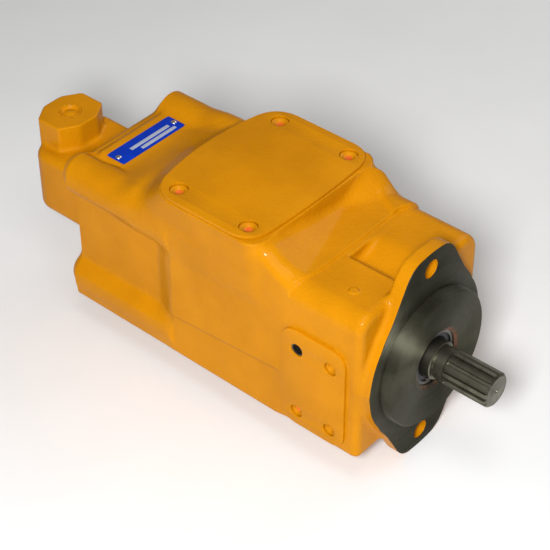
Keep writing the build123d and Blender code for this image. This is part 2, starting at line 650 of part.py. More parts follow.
def make_slippers():
    """Bronze slippers, each crimped over a piston ball."""
    foot = SWASH_X + 0.05
    slipper = cyl_x(SLIPPER_R, foot, foot + SLIPPER_BASE, 0, PITCH_R)
    slipper += cyl_x(SLIPPER_NECK_R, foot, BALL_X + 3.5, 0, PITCH_R)
    slipper -= Pos(BALL_X, 0, PITCH_R) * Sphere(BALL_R + 0.03)
    slipper -= cyl_x(1.2, foot - 1, BALL_X, 0, PITCH_R)
    slipper -= cyl_x(6.5, foot - 1, foot + 0.8, 0, PITCH_R) - cyl_x(3.5, foot - 2, foot + 2, 0, PITCH_R)
    return Compound([about_shaft(slipper, angle) for angle in piston_angles()])


def make_retainer_plate():
    """Plate that holds the slipper feet down, seated on the ball guide."""
    x0 = SWASH_X + 0.1 + SLIPPER_BASE
    x1 = x0 + RETAINER_THICK
    seat_r = GUIDE_R + 0.03
    seat = [(x, math.sqrt(seat_r ** 2 - (x - GUIDE_CENTRE_X) ** 2)) for x in (x0, (x0 + x1) / 2, x1)]
    rim = Polyline(seat[0], (x0, RETAINER_R), (x1, RETAINER_R), seat[2])
    plate = revolve(make_face([rim, ThreePointArc(*seat)]), Axis.X)
    hole = cyl_x(SLIPPER_NECK_R + 0.3, x0 - 1, x1 + 1, 0, PITCH_R)
    plate -= [about_shaft(hole, angle) for angle in piston_angles()]
    return plate


def make_ball_guide():
    """Part-ball guide on the shaft that carries the retainer plate."""
    bore_r = SHAFT_BODY_R + 0.05
    stem_x = SWASH_X + 0.1 + SLIPPER_BASE + RETAINER_THICK
    ball_x = (SWASH_X + 3, (SWASH_X + 3 + stem_x) / 2, stem_x)
    ball = [(x, math.sqrt(GUIDE_R ** 2 - (x - GUIDE_CENTRE_X) ** 2)) for x in ball_x]
    stem_end = BLOCK_X[0] + 1
    rest = Polyline(ball[2], (stem_x, GUIDE_STEM_R), (stem_end, GUIDE_STEM_R), (stem_end, bore_r),
                    (ball_x[0], bore_r), ball[0])
    return revolve(make_face([rest, ThreePointArc(*ball)]), Axis.X)


def make_block_spring():
    """Coil spring inside the cylinder block that loads the ball guide."""
    return coil_x(20.6, 1.6, BLOCK_X[0] + 3.2, BLOCK_X[1] - 62.2, 3.5)


def make_spring_washer():
    """Washer between the ball guide and the spring."""
    return ring_x(23.6, SHAFT_BODY_R + 0.2, BLOCK_X[0] + 1.0, BLOCK_X[0] + 3.0)


def make_valve_plate():
    """Stationary plate with an inlet kidney and an outlet kidney."""
    x1 = JOINT_X
    x0 = x1 - VALVE_PLATE_THICK
    plate = ring_x(VALVE_PLATE_R, COLLAR_R + 2, x0, x1)
    for side in (-1, 1):
        plate -= kidney_cut(side, x0 - 1, x1 + 1, KIDNEY_HALF_WIDTH, KIDNEY_HALF_ANGLE)
    for y, z in dowel_places():
        plate -= cyl_x(DOWEL_R, x0 - 1, x1 + 1, y, z)
    plate -= cyl_x(BIAS_GUIDE_R + 0.2, x0 - 1, x1 + 1, 0, BIAS_Z)
    return plate


def make_valve_plate_pins():
    """Two dowels that keep the valve plate from turning."""
    pins = []
    for y, z in dowel_places():
        pins.append(cyl_x(DOWEL_R - 0.05, JOINT_X - VALVE_PLATE_THICK + 0.5, JOINT_X + 7, y, z))
    return Compound(pins)


# ================================================================= swash plate and stroke control
def make_swash_plate():
    """Tilting plate with two stub trunnions low down and a control arm on top."""
    back = SWASH_X - SWASH_THICK
    plate = cyl_x(SWASH_R, back, SWASH_X)
    arm = block(back, SWASH_X, -12, 12, 30, 60)
    plate += fillet(arm.edges().filter_by(Axis.X).filter_by(lambda e: e.center().Z > 50), 6)
    for side in (-1, 1):
        y0, y1 = sorted((side * (SADDLE_Y[0] - 1), side * (SADDLE_Y[1] + 14)))
        plate -= block(back - 1, PIVOT_X + 4, y0, y1, PIVOT_Z - 20, PIVOT_Z + 20)
        plate -= cyl_y(SADDLE_R + 0.6, y0, y1, PIVOT_X, PIVOT_Z)
    plate += cyl_y(TRUNNION_R, -SADDLE_Y[1], SADDLE_Y[1], PIVOT_X, PIVOT_Z)
    plate -= cyl_x(WEAR_PLATE_R + 0.05, SWASH_X - WEAR_PLATE_THICK, SWASH_X + 1)
    plate -= cyl_x(SWASH_HOLE_R, back - 10, SWASH_X + 10)
    return plate


def make_wear_plate():
    """Hardened running face for the slippers, let into the swash plate."""
    return ring_x(WEAR_PLATE_R, SWASH_HOLE_R, SWASH_X - WEAR_PLATE_THICK, SWASH_X)


def make_saddle_bearings():
    """Two half shells that the trunnions rock in."""
    shells = []
    for side in (-1, 1):
        y0, y1 = sorted((side * SADDLE_Y[0], side * SADDLE_Y[1]))
        shell = cyl_y(SADDLE_R, y0, y1, PIVOT_X, PIVOT_Z)
        shell -= cyl_y(TRUNNION_R + SADDLE_GAP, y0 - 1, y1 + 1, PIVOT_X, PIVOT_Z)
        shells.append(shell - block(PIVOT_X, PIVOT_X + 20, y0 - 1, y1 + 1, PIVOT_Z - 20, PIVOT_Z + 20))
    return Compound(shells)


def make_control_piston():
    """Control piston whose round nose pushes the back of the swash arm."""
    nose = SWASH_X - SWASH_THICK - CONTACT_GAP - CONTROL_R
    piston = cyl_x(CONTROL_R, nose - 48, nose, 0, CONTROL_Z)
    piston += Pos(nose, 0, CONTROL_Z) * Sphere(CONTROL_R)
    return piston - cyl_x(5, nose - 49, nose - 20, 0, CONTROL_Z)


def make_control_sleeve():
    """Sleeve in the rear cover that guides the control piston."""
    return ring_x(CONTROL_SLEEVE_R, CONTROL_R + CONTROL_GAP, REAR_X - 6, REAR_X + 60, 0, CONTROL_Z)


def make_bias_piston():
    """Rod with a round head that the bias spring pushes against the swash arm."""
    centre = SWASH_X + CONTACT_GAP + BIAS_TIP_R
    head = Pos(centre, 0, BIAS_Z) * Sphere(BIAS_TIP_R)
    head += cyl_x(BIAS_TIP_R, centre, centre + 6, 0, BIAS_Z)
    return head + cyl_x(BIAS_ROD_R, centre + 5, centre + 96, 0, BIAS_Z)


def make_bias_guide():
    """Guide bush for the bias rod, seated on the front housing."""
    return ring_x(BIAS_GUIDE_R, BIAS_ROD_R + 0.04, JOINT_X - 40, JOINT_X, 0, BIAS_Z)


def make_bias_spring():
    """Coil spring between the bias head and its guide."""
    centre = SWASH_X + CONTACT_GAP + BIAS_TIP_R
    return coil_x(5.2, 1.0, centre + 6.2, JOINT_X - 40.2, 11, 0, BIAS_Z)


# ================================================================= compensator in the rear cover
def make_compensator_spool():
    """Spool with two lands that meters oil to the control piston."""
    spool = cyl_y(SPOOL_R, SPOOL_START_Y, SPOOL_START_Y + SPOOL_LAND, SPOOL_X, 0)
    spool += cyl_y(3.2, SPOOL_START_Y + SPOOL_LAND - 1, SEAT_Y - SPOOL_LAND + 1, SPOOL_X, 0)
    spool += cyl_y(SPOOL_R, SEAT_Y - SPOOL_LAND, SEAT_Y, SPOOL_X, 0)
    return spool


def make_spring_seat():
    """Seat that carries the setting spring on the end of the spool."""
    disc = SEAT_Y + SEAT_STEM
    seat = cyl_y(4.5, SEAT_Y, disc, SPOOL_X, 0)
    return seat + cyl_y(SPRING_CHAMBER_R - 0.6, disc, disc + SEAT_DISC, SPOOL_X, 0)


def make_compensator_spring():
    """Setting spring between the spring seat and the adjuster."""
    start = SEAT_Y + SEAT_STEM + SEAT_DISC + 0.1
    spring = coil_x(6.0, 1.1, 0, BLOCK_HALF_WIDTH - ADJUSTER_REACH - 0.1 - start, 4)
    return Pos(SPOOL_X, start, 0) * Rot(0, 0, 90) * spring


def make_compensator_plug():
    """Screwed plug that closes the spring chamber, with a threaded hole for the adjuster."""
    side = BLOCK_HALF_WIDTH
    plug = cyl_y(SPRING_CHAMBER_R - 0.05, side - PLUG_DEPTH, side, SPOOL_X, 0)
    head = extrude(Plane((SPOOL_X, side, 0), x_dir=(1, 0, 0), z_dir=(0, 1, 0)) * RegularPolygon(12, 6), 7)
    return plug + head - cyl_y(4.04, side - 13, side + 8, SPOOL_X, 0)


def make_adjuster_screw():
    """Adjusting screw that sets the spring's preload."""
    side = BLOCK_HALF_WIDTH
    screw = cyl_y(4.0, side - ADJUSTER_REACH, side + 22, SPOOL_X, 0)
    slot = block(SPOOL_X - 5, SPOOL_X + 5, side + 20, side + 23, -0.8, 0.8)
    return screw - slot


def make_adjuster_locknut():
    """Lock nut on the adjusting screw."""
    side = BLOCK_HALF_WIDTH + 7.2
    nut = extrude(Plane((SPOOL_X, side, 0), x_dir=(1, 0, 0), z_dir=(0, 1, 0)) * RegularPolygon(7.5, 6), 6)
    return nut - cyl_y(4.04, side - 1, side + 7, SPOOL_X, 0)


# ================================================================= assembly
def build_nodes():
    """Every node of the pump, by name."""
    nodes = {
        "front_housing": make_front_housing(),
        "main_housing": make_main_housing(),
        "rear_cover": make_rear_cover(),
        "inlet_cover_plate": make_inlet_cover_plate(),
        "outlet_cover_plate": make_outlet_cover_plate(),
        "inlet_plate_screws": make_inlet_plate_screws(),
        "outlet_plate_screws": make_outlet_plate_screws(),
        "nameplate": make_nameplate(),
        "nameplate_rivets": make_nameplate_rivets(),
        "tie_bolts": make_tie_bolts(),
        "inlet_plate_seal": make_inlet_plate_seal(),
        "case_joint_seal": make_case_joint_seal(),
        "rear_port_plug": make_rear_port_plug(),
        "drive_shaft": make_drive_shaft(),
        "shaft_seal": make_shaft_seal(),
        "seal_retaining_ring": make_seal_retaining_ring(),
        "cylinder_block": make_cylinder_block(),
        "pistons": make_pistons(),
        "slippers": make_slippers(),
        "retainer_plate": make_retainer_plate(),
        "ball_guide": make_ball_guide(),
        "block_spring": make_block_spring(),
        "spring_washer": make_spring_washer(),
        "valve_plate": make_valve_plate(),
        "valve_plate_pins": make_valve_plate_pins(),
        "swash_plate": make_swash_plate(),
        "wear_plate": make_wear_plate(),
        "saddle_bearings": make_saddle_bearings(),
        "control_piston": make_control_piston(),
        "control_sleeve": make_control_sleeve(),
        "bias_piston": make_bias_piston(),
        "bias_guide": make_bias_guide(),
        "bias_spring": make_bias_spring(),
        "compensator_spool": make_compensator_spool(),
        "spring_seat": make_spring_seat(),
        "compensator_spring": make_compensator_spring(),
        "compensator_plug": make_compensator_plug(),
        "adjuster_screw": make_adjuster_screw(),
        "adjuster_locknut": make_adjuster_locknut(),
    }
    for end, x_range, radii, rollers in (("front", FRONT_BEARING_X, FRONT_BEARING_R, 18),
                                         ("rear", REAR_BEARING_X, REAR_BEARING_R, 14)):
        pieces = make_bearing(x_range, radii, rollers)
        for piece, name in zip(pieces, ("outer_race", "inner_race", "rollers", "cage")):
            nodes[f"{end}_bearing_{name}"] = piece
    return nodes


os.makedirs("parts", exist_ok=True)
for node_name, shape in build_nodes().items():
    export_step(shape, f"parts/{node_name}.step")
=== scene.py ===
"""Looks of a painted axial piston pump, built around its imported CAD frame.

The three castings are implicit shapes, meshed on a grid; plates, screws and the machined face are
built from outlines and turned profiles.  Inside the shape functions lengths are millimetres in the
row frame: X out of the drive end, Z up, the outlet on -Y.  Numbers left bare there are the widths
of fillets and fades, and the slopes and places of the faces that bound a shape.
"""
import math

import bmesh
import bpy
import numpy as np
from mathutils import Matrix, Vector


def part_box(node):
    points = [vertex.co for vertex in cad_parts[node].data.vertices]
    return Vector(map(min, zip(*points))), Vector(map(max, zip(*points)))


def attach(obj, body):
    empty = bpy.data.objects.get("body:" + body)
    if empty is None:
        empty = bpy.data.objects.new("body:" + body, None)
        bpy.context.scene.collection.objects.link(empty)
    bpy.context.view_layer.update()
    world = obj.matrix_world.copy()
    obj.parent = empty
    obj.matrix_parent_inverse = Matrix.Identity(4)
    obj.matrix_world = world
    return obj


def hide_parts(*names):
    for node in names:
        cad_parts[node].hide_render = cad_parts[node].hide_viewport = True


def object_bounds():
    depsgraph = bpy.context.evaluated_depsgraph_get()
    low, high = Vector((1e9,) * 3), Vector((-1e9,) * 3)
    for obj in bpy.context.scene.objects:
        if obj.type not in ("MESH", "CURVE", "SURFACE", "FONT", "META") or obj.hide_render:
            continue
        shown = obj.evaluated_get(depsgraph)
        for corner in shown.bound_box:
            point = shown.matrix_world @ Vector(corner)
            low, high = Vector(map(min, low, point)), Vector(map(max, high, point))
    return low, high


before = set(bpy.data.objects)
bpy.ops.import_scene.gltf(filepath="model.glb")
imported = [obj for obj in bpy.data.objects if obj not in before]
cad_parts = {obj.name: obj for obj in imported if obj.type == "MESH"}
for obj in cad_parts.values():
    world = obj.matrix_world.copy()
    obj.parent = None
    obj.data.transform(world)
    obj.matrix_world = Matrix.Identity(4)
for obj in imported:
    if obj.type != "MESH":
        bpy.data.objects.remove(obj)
cad_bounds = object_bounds()

MM = 0.001


def box_mm(node):
    """Lowest and highest corner of a CAD node, in millimetres."""
    low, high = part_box(node)
    return [v / MM for v in low], [v / MM for v in high]


# ------------------------------------------------------------------ places taken from the frame
FRONT_LOW, FRONT_HIGH = box_mm("front_housing")
MAIN_LOW, MAIN_HIGH = box_mm("main_housing")
COVER_LOW = box_mm("rear_cover")[0]
INLET_LOW, INLET_HIGH = box_mm("inlet_cover_plate")
OUTLET_LOW, OUTLET_HIGH = box_mm("outlet_cover_plate")
NAME_LOW, NAME_HIGH = box_mm("nameplate")
JOINT_X = FRONT_LOW[0]
PILOT_FRONT_X = FRONT_HIGH[0]
EAR_TIP_R = FRONT_HIGH[2]
HALF_WIDTH = FRONT_HIGH[1]
REAR_X = MAIN_LOW[0]
BOTTOM_Z = MAIN_LOW[2]
PAD_Z = MAIN_HIGH[2]
PAD_HALF = MAIN_HIGH[1]
LAND_Z = NAME_LOW[2]

# ------------------------------------------------------------------ front housing
SKIN = 0.6
FLANGE_BACK_X = -14.5
FLANGE_R = 74.5
EAR_ROOT = (57.5, 46.0)
EAR_TOP = (25.0, 106.0)
PILOT_R = 63.5
BOLT_Z = 90.5
BOLT_R = 8.75
SEAL_BORE_R = 26.0
SEAL_BORE_END_X = -24.0
SHAFT_BORE_R = 20.0
TIE_THREAD_R = 6.4
TIE_THREAD_END_X = -55.0
BODY_FRONT_X = -9.5
TOP_Z = 78.0
MARK_X = -39.4
MARK_Y = -49.8
MARK_R = 4.0
FRONT_GRID = 1.45

# ------------------------------------------------------------------ main housing
DECK_Z = 80.3
STEP_X = -76.0
PAD_FRONT_X = -117.5
PAD_REAR_X = -232.0
PAD_SIDE_Y = 82.0
PAD_BOW = 12.0
PANEL_EDGE_X = -219.0
PANEL_DEPTH = 9.5
CLIMB_X = -306.0
CLIMB_LENGTH = 40.0
REAR_TOP_Z = 64.0
NEAR_RADIUS = 17.0
FAR_RADIUS = 20.0
FAR_SPREAD = 4.0
FAR_BOSS_RISE = 3.5
FRONT_BASE_RADIUS = 6.5
CASE_BASE_RADIUS = 4.5
TIE_Y = 59.5
TIE_Z = 56.0
BOSS_R = 19.0
CAVITY_R = 64.0
REAR_BORE_R = 59.0
REAR_BORE_LENGTH = 12.0
TIE_HOLE_R = 7.0
CONTROL_Z = 48.0
CONTROL_HOLE_R = 12.9
CONTROL_HOLE_LENGTH = 14.0
PIVOT_X = -236.0
PIVOT_Z = -46.0
SADDLE_BACK_X = -270.0
SADDLE_Y = (24.0, 38.0)
SADDLE_Z = (-65.0, -33.5)
SADDLE_SEAT_R = 12.8
SADDLE_SEAT_HALF = 38.5
MAIN_GRID = 1.7

# ------------------------------------------------------------------ ports, plates and screws
PLATE_THICK = 3.0
PLATE_BEVEL = 0.25
INLET_X = -177.2
INLET_BORE_R = 50.8
INLET_HALF_LENGTH = 54.5
INLET_HALF_WIDTH = 81.0
INLET_SCREWS = [(INLET_X + i * 38.9, j * 65.1) for i in (-1, 1) for j in (-1, 1)]
INLET_SCREW_R = 8.1
INLET_HOLE_R = 8.5
INLET_HOLE_DEPTH = 26.0
OUTLET_X = -55.7
OUTLET_Z = -20.5
OUTLET_BORE_R = 19.0
OUTLET_BORE_END_Y = -33.0
OUTLET_PAD_BACK_Y = -60.0
OUTLET_END_X = -88.5
OUTLET_SCREWS = [(OUTLET_X + i * 17.85, OUTLET_Z + j * 34.95) for i in (-1, 1) for j in (-1, 1)]
OUTLET_SCREW_R = 6.1
OUTLET_HOLE_R = 6.7
OUTLET_HOLE_DEPTH = 10.5
SCREW_PLAY = 0.15
AXIS_R = 0.01

# ------------------------------------------------------------------ rear cover and block
COVER_X = REAR_X - 12.0
COVER_FRONT_X = -324.0
BOLT_HEAD_R = 9.3
BOLT_HEAD_DEPTH = 7.0
BLOCK_X = -433.8
BLOCK_FRONT_X = -330.0
BLOCK_HALF = 44.0
BLOCK_TOP_Z = 31.5
BLOCK_BOTTOM_Z = -33.5
BLOCK_CORNER_R = 20.0
HUB_R = 34.0
BEARING_BORE_R = 26.2
BEARING_BORE_END_X = -340.0
SHAFT_END_R = 14.5
SHAFT_END_X = -344.5
COVER_CONTROL_R = 12.8
COVER_CONTROL_END_X = -350.5
COVER_TIE_HOLE_R = 6.8
SPOOL_X = -392.0
SPOOL_BORE_R = 6.7
SPOOL_BORE_START_Y = -32.5
SPRING_CHAMBER_R = 9.9
SPRING_CHAMBER_START_Y = 7.0
PORT_X = -420.0
PORT_BOSS_HALF = (24.7, 28.8)
PORT_BOSS_SLANT = (0.844, 0.536, 26.8)
PORT_BOSS_TOP_Z = 57.0
PORT_BOSS_FOOT_Z = 31.0
PORT_HOLE_R = 10.3
PORT_HOLE_DEPTH = 18.0
COVER_GRID = 1.3


# ================================================================== implicit shapes
def smooth_min(a, b, k):
    """Union of two fields with a fillet about k wide."""
    h = np.maximum(k - np.abs(a - b), 0) / k
    return np.minimum(a, b) - h * h * k * 0.25


def smooth_max(a, b, k):
    """Intersection of two fields with a rounded edge about k wide."""
    return -smooth_min(-a, -b, k)


def ease(t):
    """Smooth step from 0 to 1."""
    t = np.clip(t, 0, 1)
    return t * t * (3 - 2 * t)


def ramp(t):
    """Step from 0 to 1 with firmer corners than ease."""
    return (ease(t) + np.clip(t, 0, 1)) / 2


def cut(body, tool):
    """A body with a tool's shape taken out, edges left sharp."""
    return np.maximum(body, -tool)


def rounded_box_2d(u, v, half_u, half_v, radius):
    """Distance to a rectangle with rounded corners."""
    du = np.abs(u) - half_u + radius
    dv = np.abs(v) - half_v + radius
    outside = np.hypot(np.maximum(du, 0), np.maximum(dv, 0))
    return outside + np.minimum(np.maximum(du, dv), 0) - radius


def along(x, low, high):
    """Distance to the slab between two planes."""
    return np.maximum(low - x, x - high)


def from_tie_bolt(y, z):
    """Distance to the nearest of the four tie bolts' axes."""
    return np.hypot(np.abs(y) - TIE_Y, np.abs(z) - TIE_Z)


def flange_outline(y, z):
    """Round SAE flange with an ear above and an ear below."""
    across, up = EAR_ROOT[0] - EAR_TOP[0], EAR_TOP[1] - EAR_ROOT[1]
    run = math.hypot(across, up)
    slant = (np.abs(y) - EAR_ROOT[0]) * (up / run) + (np.abs(z) - EAR_ROOT[1]) * (across / run)
    ear = smooth_max(slant, np.hypot(y, z) - EAR_TIP_R, 9)
    ear = ear + 9 * ease((50 - np.abs(z)) / 18)
    return smooth_min(ear, np.hypot(y, z) - FLANGE_R, 7)


def deck_height(x, y):
    """Top of the case before the inlet pad: a flat deck, two slopes up to the pad, a low ridge."""
    near = 0.582 * (-84 - x) - 0.2 * (y + 72)
    far = 0.5 * (y - 26) - 0.95 * (x + 117)
    low_ridge = 2.2 * ease((y - 48.4 + 0.48 * (x + 83)) / 7)
    rise = smooth_max(smooth_max(near, far, 4), low_ridge, 8)
    return DECK_Z + np.minimum(rise, PAD_Z - 0.6 - DECK_Z)


def step_line(y):
    """Where the deck steps down to the front block; it bends back at the near side."""
    near = 9 * np.clip((-y - 46) / 31, 0, 1) ** 2
    return STEP_X - near + 4.5 * ease((y - 52) / 18)


def half_width(x, z):
    """Half the width of the case: drafted above a parting line, with a recessed panel behind."""
    line = -32 + (x - PANEL_EDGE_X) * 0.071
    above = 76.8 + 1.8 * np.exp(-np.clip(z - line, -6, 200) / 26)
    below = 76.3 + 0.035 * (line - z)
    drafted = below + (np.minimum(above, 78.6) - below) * ease((z - line + 3) / 5)
    fade = ease((x - PAD_REAR_X) / 10) * (1 - ease((x + 104) / 12))
    width = HALF_WIDTH + (drafted - HALF_WIDTH) * fade * ease((60 - z) / 30)
    panel = ramp((PANEL_EDGE_X - x) / 25) * ramp((50 - np.abs(z)) / 12)
    return width - PANEL_DEPTH * panel


def case_section(x, y, z, top):
    """Case cross-section under a given top, with big upper and small lower corners."""
    middle, half = (top + BOTTOM_Z) / 2, (top - BOTTOM_Z) / 2
    base_change = FRONT_BASE_RADIUS - CASE_BASE_RADIUS
    base = CASE_BASE_RADIUS + base_change * ease((x - JOINT_X + 6) / 12)
    radius = np.where(z > middle, np.where(y > 0, FAR_RADIUS, NEAR_RADIUS), base)
    spread = FAR_SPREAD / 2 * ease((x + 140) / 30)
    return rounded_box_2d(y - spread, z - middle, half_width(x, z) + spread, half, radius)


def tie_bosses(y, z):
    """Four round corner bosses along the case."""
    return from_tie_bolt(y, z) - BOSS_R


def far_shoulder(x, y, z):
    """Fuller boss at the far upper corner, which climbs towards the inlet pad."""
    level = TIE_Z + FAR_BOSS_RISE + 3.6 * ease((x - CLIMB_X) / 30)
    return np.hypot(y - TIE_Y + 2, z - level) - BOSS_R - 1.7


def front_casting(x, y, z):
    """Front housing without its end planes."""
    step = ease((step_line(y) - x) / 1.6 + 0.5)
    top = TOP_Z + (deck_height(x, y) - TOP_Z) * step
    body = smooth_max(case_section(x, y, z, top), x - BODY_FRONT_X, 8)
    floor = 67 + 11.5 * ease((y + 6) / 32)
    pocket = smooth_max(along(x, -70, -10), floor - z, 7)
    pocket = smooth_max(pocket, -17.5 - y, 3)
    body = smooth_max(body, -pocket, 2.5)
    pad = np.maximum(outlet_plate_outline(x, z), along(y, -HALF_WIDTH, OUTLET_PAD_BACK_Y))
    body = smooth_min(body, pad, 2)
    mark = smooth_max(np.hypot(x - MARK_X, y - MARK_Y) - MARK_R, z - TOP_Z - 1.0, 0.6)
    body = smooth_min(body, np.maximum(mark, TOP_Z - 3 - z), 0.8)
    flange = smooth_max(flange_outline(y, z), FLANGE_BACK_X - x, 4)
    body = smooth_min(body, flange, 5)
    from_axis = np.hypot(y, z)
    body = cut(body, np.hypot(y, np.abs(z) - BOLT_Z) - BOLT_R)
    body = cut(body, np.maximum(from_axis - SEAL_BORE_R - 0.3, SEAL_BORE_END_X - x))
    body = cut(body, from_axis - SHAFT_BORE_R)
    outlet = np.hypot(x - OUTLET_X, z - OUTLET_Z) - OUTLET_BORE_R
    body = cut(body, np.maximum(outlet, y - OUTLET_BORE_END_Y))
    for hole_x, hole_z in OUTLET_SCREWS:
        hole = np.hypot(x - hole_x, z - hole_z) - OUTLET_HOLE_R
        body = cut(body, np.maximum(hole, y + HALF_WIDTH - OUTLET_HOLE_DEPTH))
    return cut(body, np.maximum(from_tie_bolt(y, z) - TIE_THREAD_R, x - TIE_THREAD_END_X))


def bow(y, half):
    """Bow of an edge: 1 in the middle, 0 at half its length to either side."""
    return 1 - (y / half) ** 2


def inlet_pad(x, y, z):
    """Raised pad under the inlet plate; its rear wall bows and leans out."""
    drop = PAD_Z - z
    front = x - PAD_FRONT_X - 0.06 * drop
    lean = 0.75 + 0.8 * bow(y, PAD_SIDE_Y)
    rear = PAD_REAR_X - PAD_BOW * bow(y, PAD_SIDE_Y) - x - lean * drop
    side = np.abs(y) - PAD_SIDE_Y + 0.1 * np.clip(drop, 0, 60)
    outline = smooth_max(smooth_max(front, side, 16), rear * 0.8, 20)
    return smooth_max(smooth_max(outline, 36 - z, 12), z - PAD_Z, 0.9)


def name_land(x, y, z):
    """Raised land under the name plate, which climbs and widens towards the inlet pad."""
    climb = ease((x - CLIMB_X) / CLIMB_LENGTH)
    top = LAND_Z - 0.05 + 8.5 * climb - 4.5 * ease((REAR_X + 9 - x) / 9)
    half = 43.5 + 16 * ease((x + 312) / 40)
    land = smooth_max(np.abs(y) - half, z - top, 7)
    return np.maximum(np.maximum(land, 40 - z), x + 236)


def main_casting(x, y, z):
    """Pump case without its end planes."""
    rear_top = REAR_TOP_Z + 16 * ease((x - CLIMB_X) / CLIMB_LENGTH)
    top = np.where(x > -180, deck_height(np.maximum(x, PAD_FRONT_X - 2), y), rear_top)
    body = case_section(x, y, z, top)
    bosses = np.maximum(np.minimum(tie_bosses(y, z), far_shoulder(x, y, z)), x + 224)
    body = smooth_min(body, bosses, 6)
    groove = np.hypot(y + 47, (z - 71) * 1.2) - 4.2
    groove = groove + 9 * ease((x + 322) / 18)
    body = smooth_min(smooth_max(body, -groove, 6), name_land(x, y, z), 3 + 2 * ease(y / 20))
    body = smooth_min(body, inlet_pad(x, y, z), 6)
    body = smooth_max(body, z - PAD_Z, 0.9)
    bore = np.where(x < REAR_X + REAR_BORE_LENGTH, REAR_BORE_R, CAVITY_R)
    body = cut(body, np.hypot(y, z) - bore)
    control = np.hypot(y, z - CONTROL_Z) - CONTROL_HOLE_R
    body = cut(body, np.maximum(control, x - REAR_X - CONTROL_HOLE_LENGTH))
    body = cut(body, np.maximum(np.hypot(x - INLET_X, y) - INLET_BORE_R, -z))
    for hole_x, hole_y in INLET_SCREWS:
        hole = np.hypot(x - hole_x, y - hole_y) - INLET_HOLE_R
        body = cut(body, np.maximum(hole, PAD_Z - INLET_HOLE_DEPTH - z))
    body = cut(body, from_tie_bolt(y, z) - TIE_HOLE_R)
    saddle = np.maximum(along(x, SADDLE_BACK_X, PIVOT_X), along(np.abs(y), *SADDLE_Y))
    body = np.minimum(body, np.maximum(saddle, along(z, *SADDLE_Z)))
    seat = np.hypot(x - PIVOT_X, z - PIVOT_Z) - SADDLE_SEAT_R
    return cut(body, np.maximum(seat, np.abs(y) - SADDLE_SEAT_HALF))


def cover_outline(y, z):
    """Rear cover plate with a round ear over each tie bolt."""
    plate = rounded_box_2d(y, z, 65, 67, 12)
    return smooth_min(plate, tie_bosses(y, z) + 0.6, 7)


def port_boss(x, y, z):
    """Upright octagonal boss, undercut where it overhangs the block's rear face."""
    du, dv = np.abs(x - PORT_X), np.abs(y)
    side = smooth_max(du - PORT_BOSS_HALF[0], dv - PORT_BOSS_HALF[1], 2)
    slant_u, slant_v, reach = PORT_BOSS_SLANT
    side = smooth_max(side, du * slant_u + dv * slant_v - reach, 2)
    under = (side + PORT_BOSS_FOOT_Z - z) * math.sqrt(0.5)
    return smooth_max(smooth_max(side, under, 3), z - PORT_BOSS_TOP_Z, 1.5)


def rear_casting(x, y, z):
    """Rear cover and compensator block without their end planes."""
    plate = np.maximum(smooth_max(cover_outline(y, z), COVER_X - x, 16), x - REAR_X)
    half_length = (BLOCK_FRONT_X - BLOCK_X) / 2
    middle_x = (BLOCK_X + BLOCK_FRONT_X) / 2
    ends = rounded_box_2d(x - middle_x, y, half_length, BLOCK_HALF, BLOCK_CORNER_R)
    middle, half = (BLOCK_TOP_Z + BLOCK_BOTTOM_Z) / 2, (BLOCK_TOP_Z - BLOCK_BOTTOM_Z) / 2
    core = smooth_max(ends, np.abs(z - middle) - half, 9)
    body = smooth_min(plate, np.maximum(core, x - REAR_X + 2), 7)
    body = smooth_min(body, port_boss(x, y, z), 5)
    from_axis = np.hypot(y, z)
    body = np.minimum(body, np.maximum(from_axis - HUB_R, along(x, REAR_X - 1, COVER_FRONT_X)))
    body = cut(body, np.maximum(from_axis - BEARING_BORE_R, BEARING_BORE_END_X - x))
    body = cut(body, np.maximum(from_axis - SHAFT_END_R, SHAFT_END_X - x))
    control = np.hypot(y, z - CONTROL_Z) - COVER_CONTROL_R
    body = cut(body, np.maximum(control, COVER_CONTROL_END_X - x))
    bolt = from_tie_bolt(y, z)
    body = cut(body, bolt - COVER_TIE_HOLE_R)
    body = cut(body, np.maximum(bolt - BOLT_HEAD_R, x - COVER_X - BOLT_HEAD_DEPTH))
    port = np.hypot(x - PORT_X, y) - PORT_HOLE_R
    body = cut(body, np.maximum(port, PORT_BOSS_TOP_Z - PORT_HOLE_DEPTH - z))
    spool = np.hypot(x - SPOOL_X, z)
    body = cut(body, np.maximum(spool - SPOOL_BORE_R, SPOOL_BORE_START_Y - y))
    return cut(body, np.maximum(spool - SPRING_CHAMBER_R, SPRING_CHAMBER_START_Y - y))


# ================================================================== meshes
def gradient(shape, points):
    """Slope of a field at some points."""
    reach = 0.15
    result = np.empty_like(points)
    for axis in range(3):
        ahead, behind = points.copy(), points.copy()
        ahead[:, axis] += reach
        behind[:, axis] -= reach
        result[:, axis] = (shape(*ahead.T) - shape(*behind.T)) / (2 * reach)
    return result


def crossings(inside, axis):
    """Grid edges along an axis that cross the surface, and whether they leave the inside."""
    low = np.take(inside, range(inside.shape[axis] - 1), axis)
    high = np.take(inside, range(1, inside.shape[axis]), axis)
    edges = np.argwhere(low != high)
    return edges, low[tuple(edges.T)]


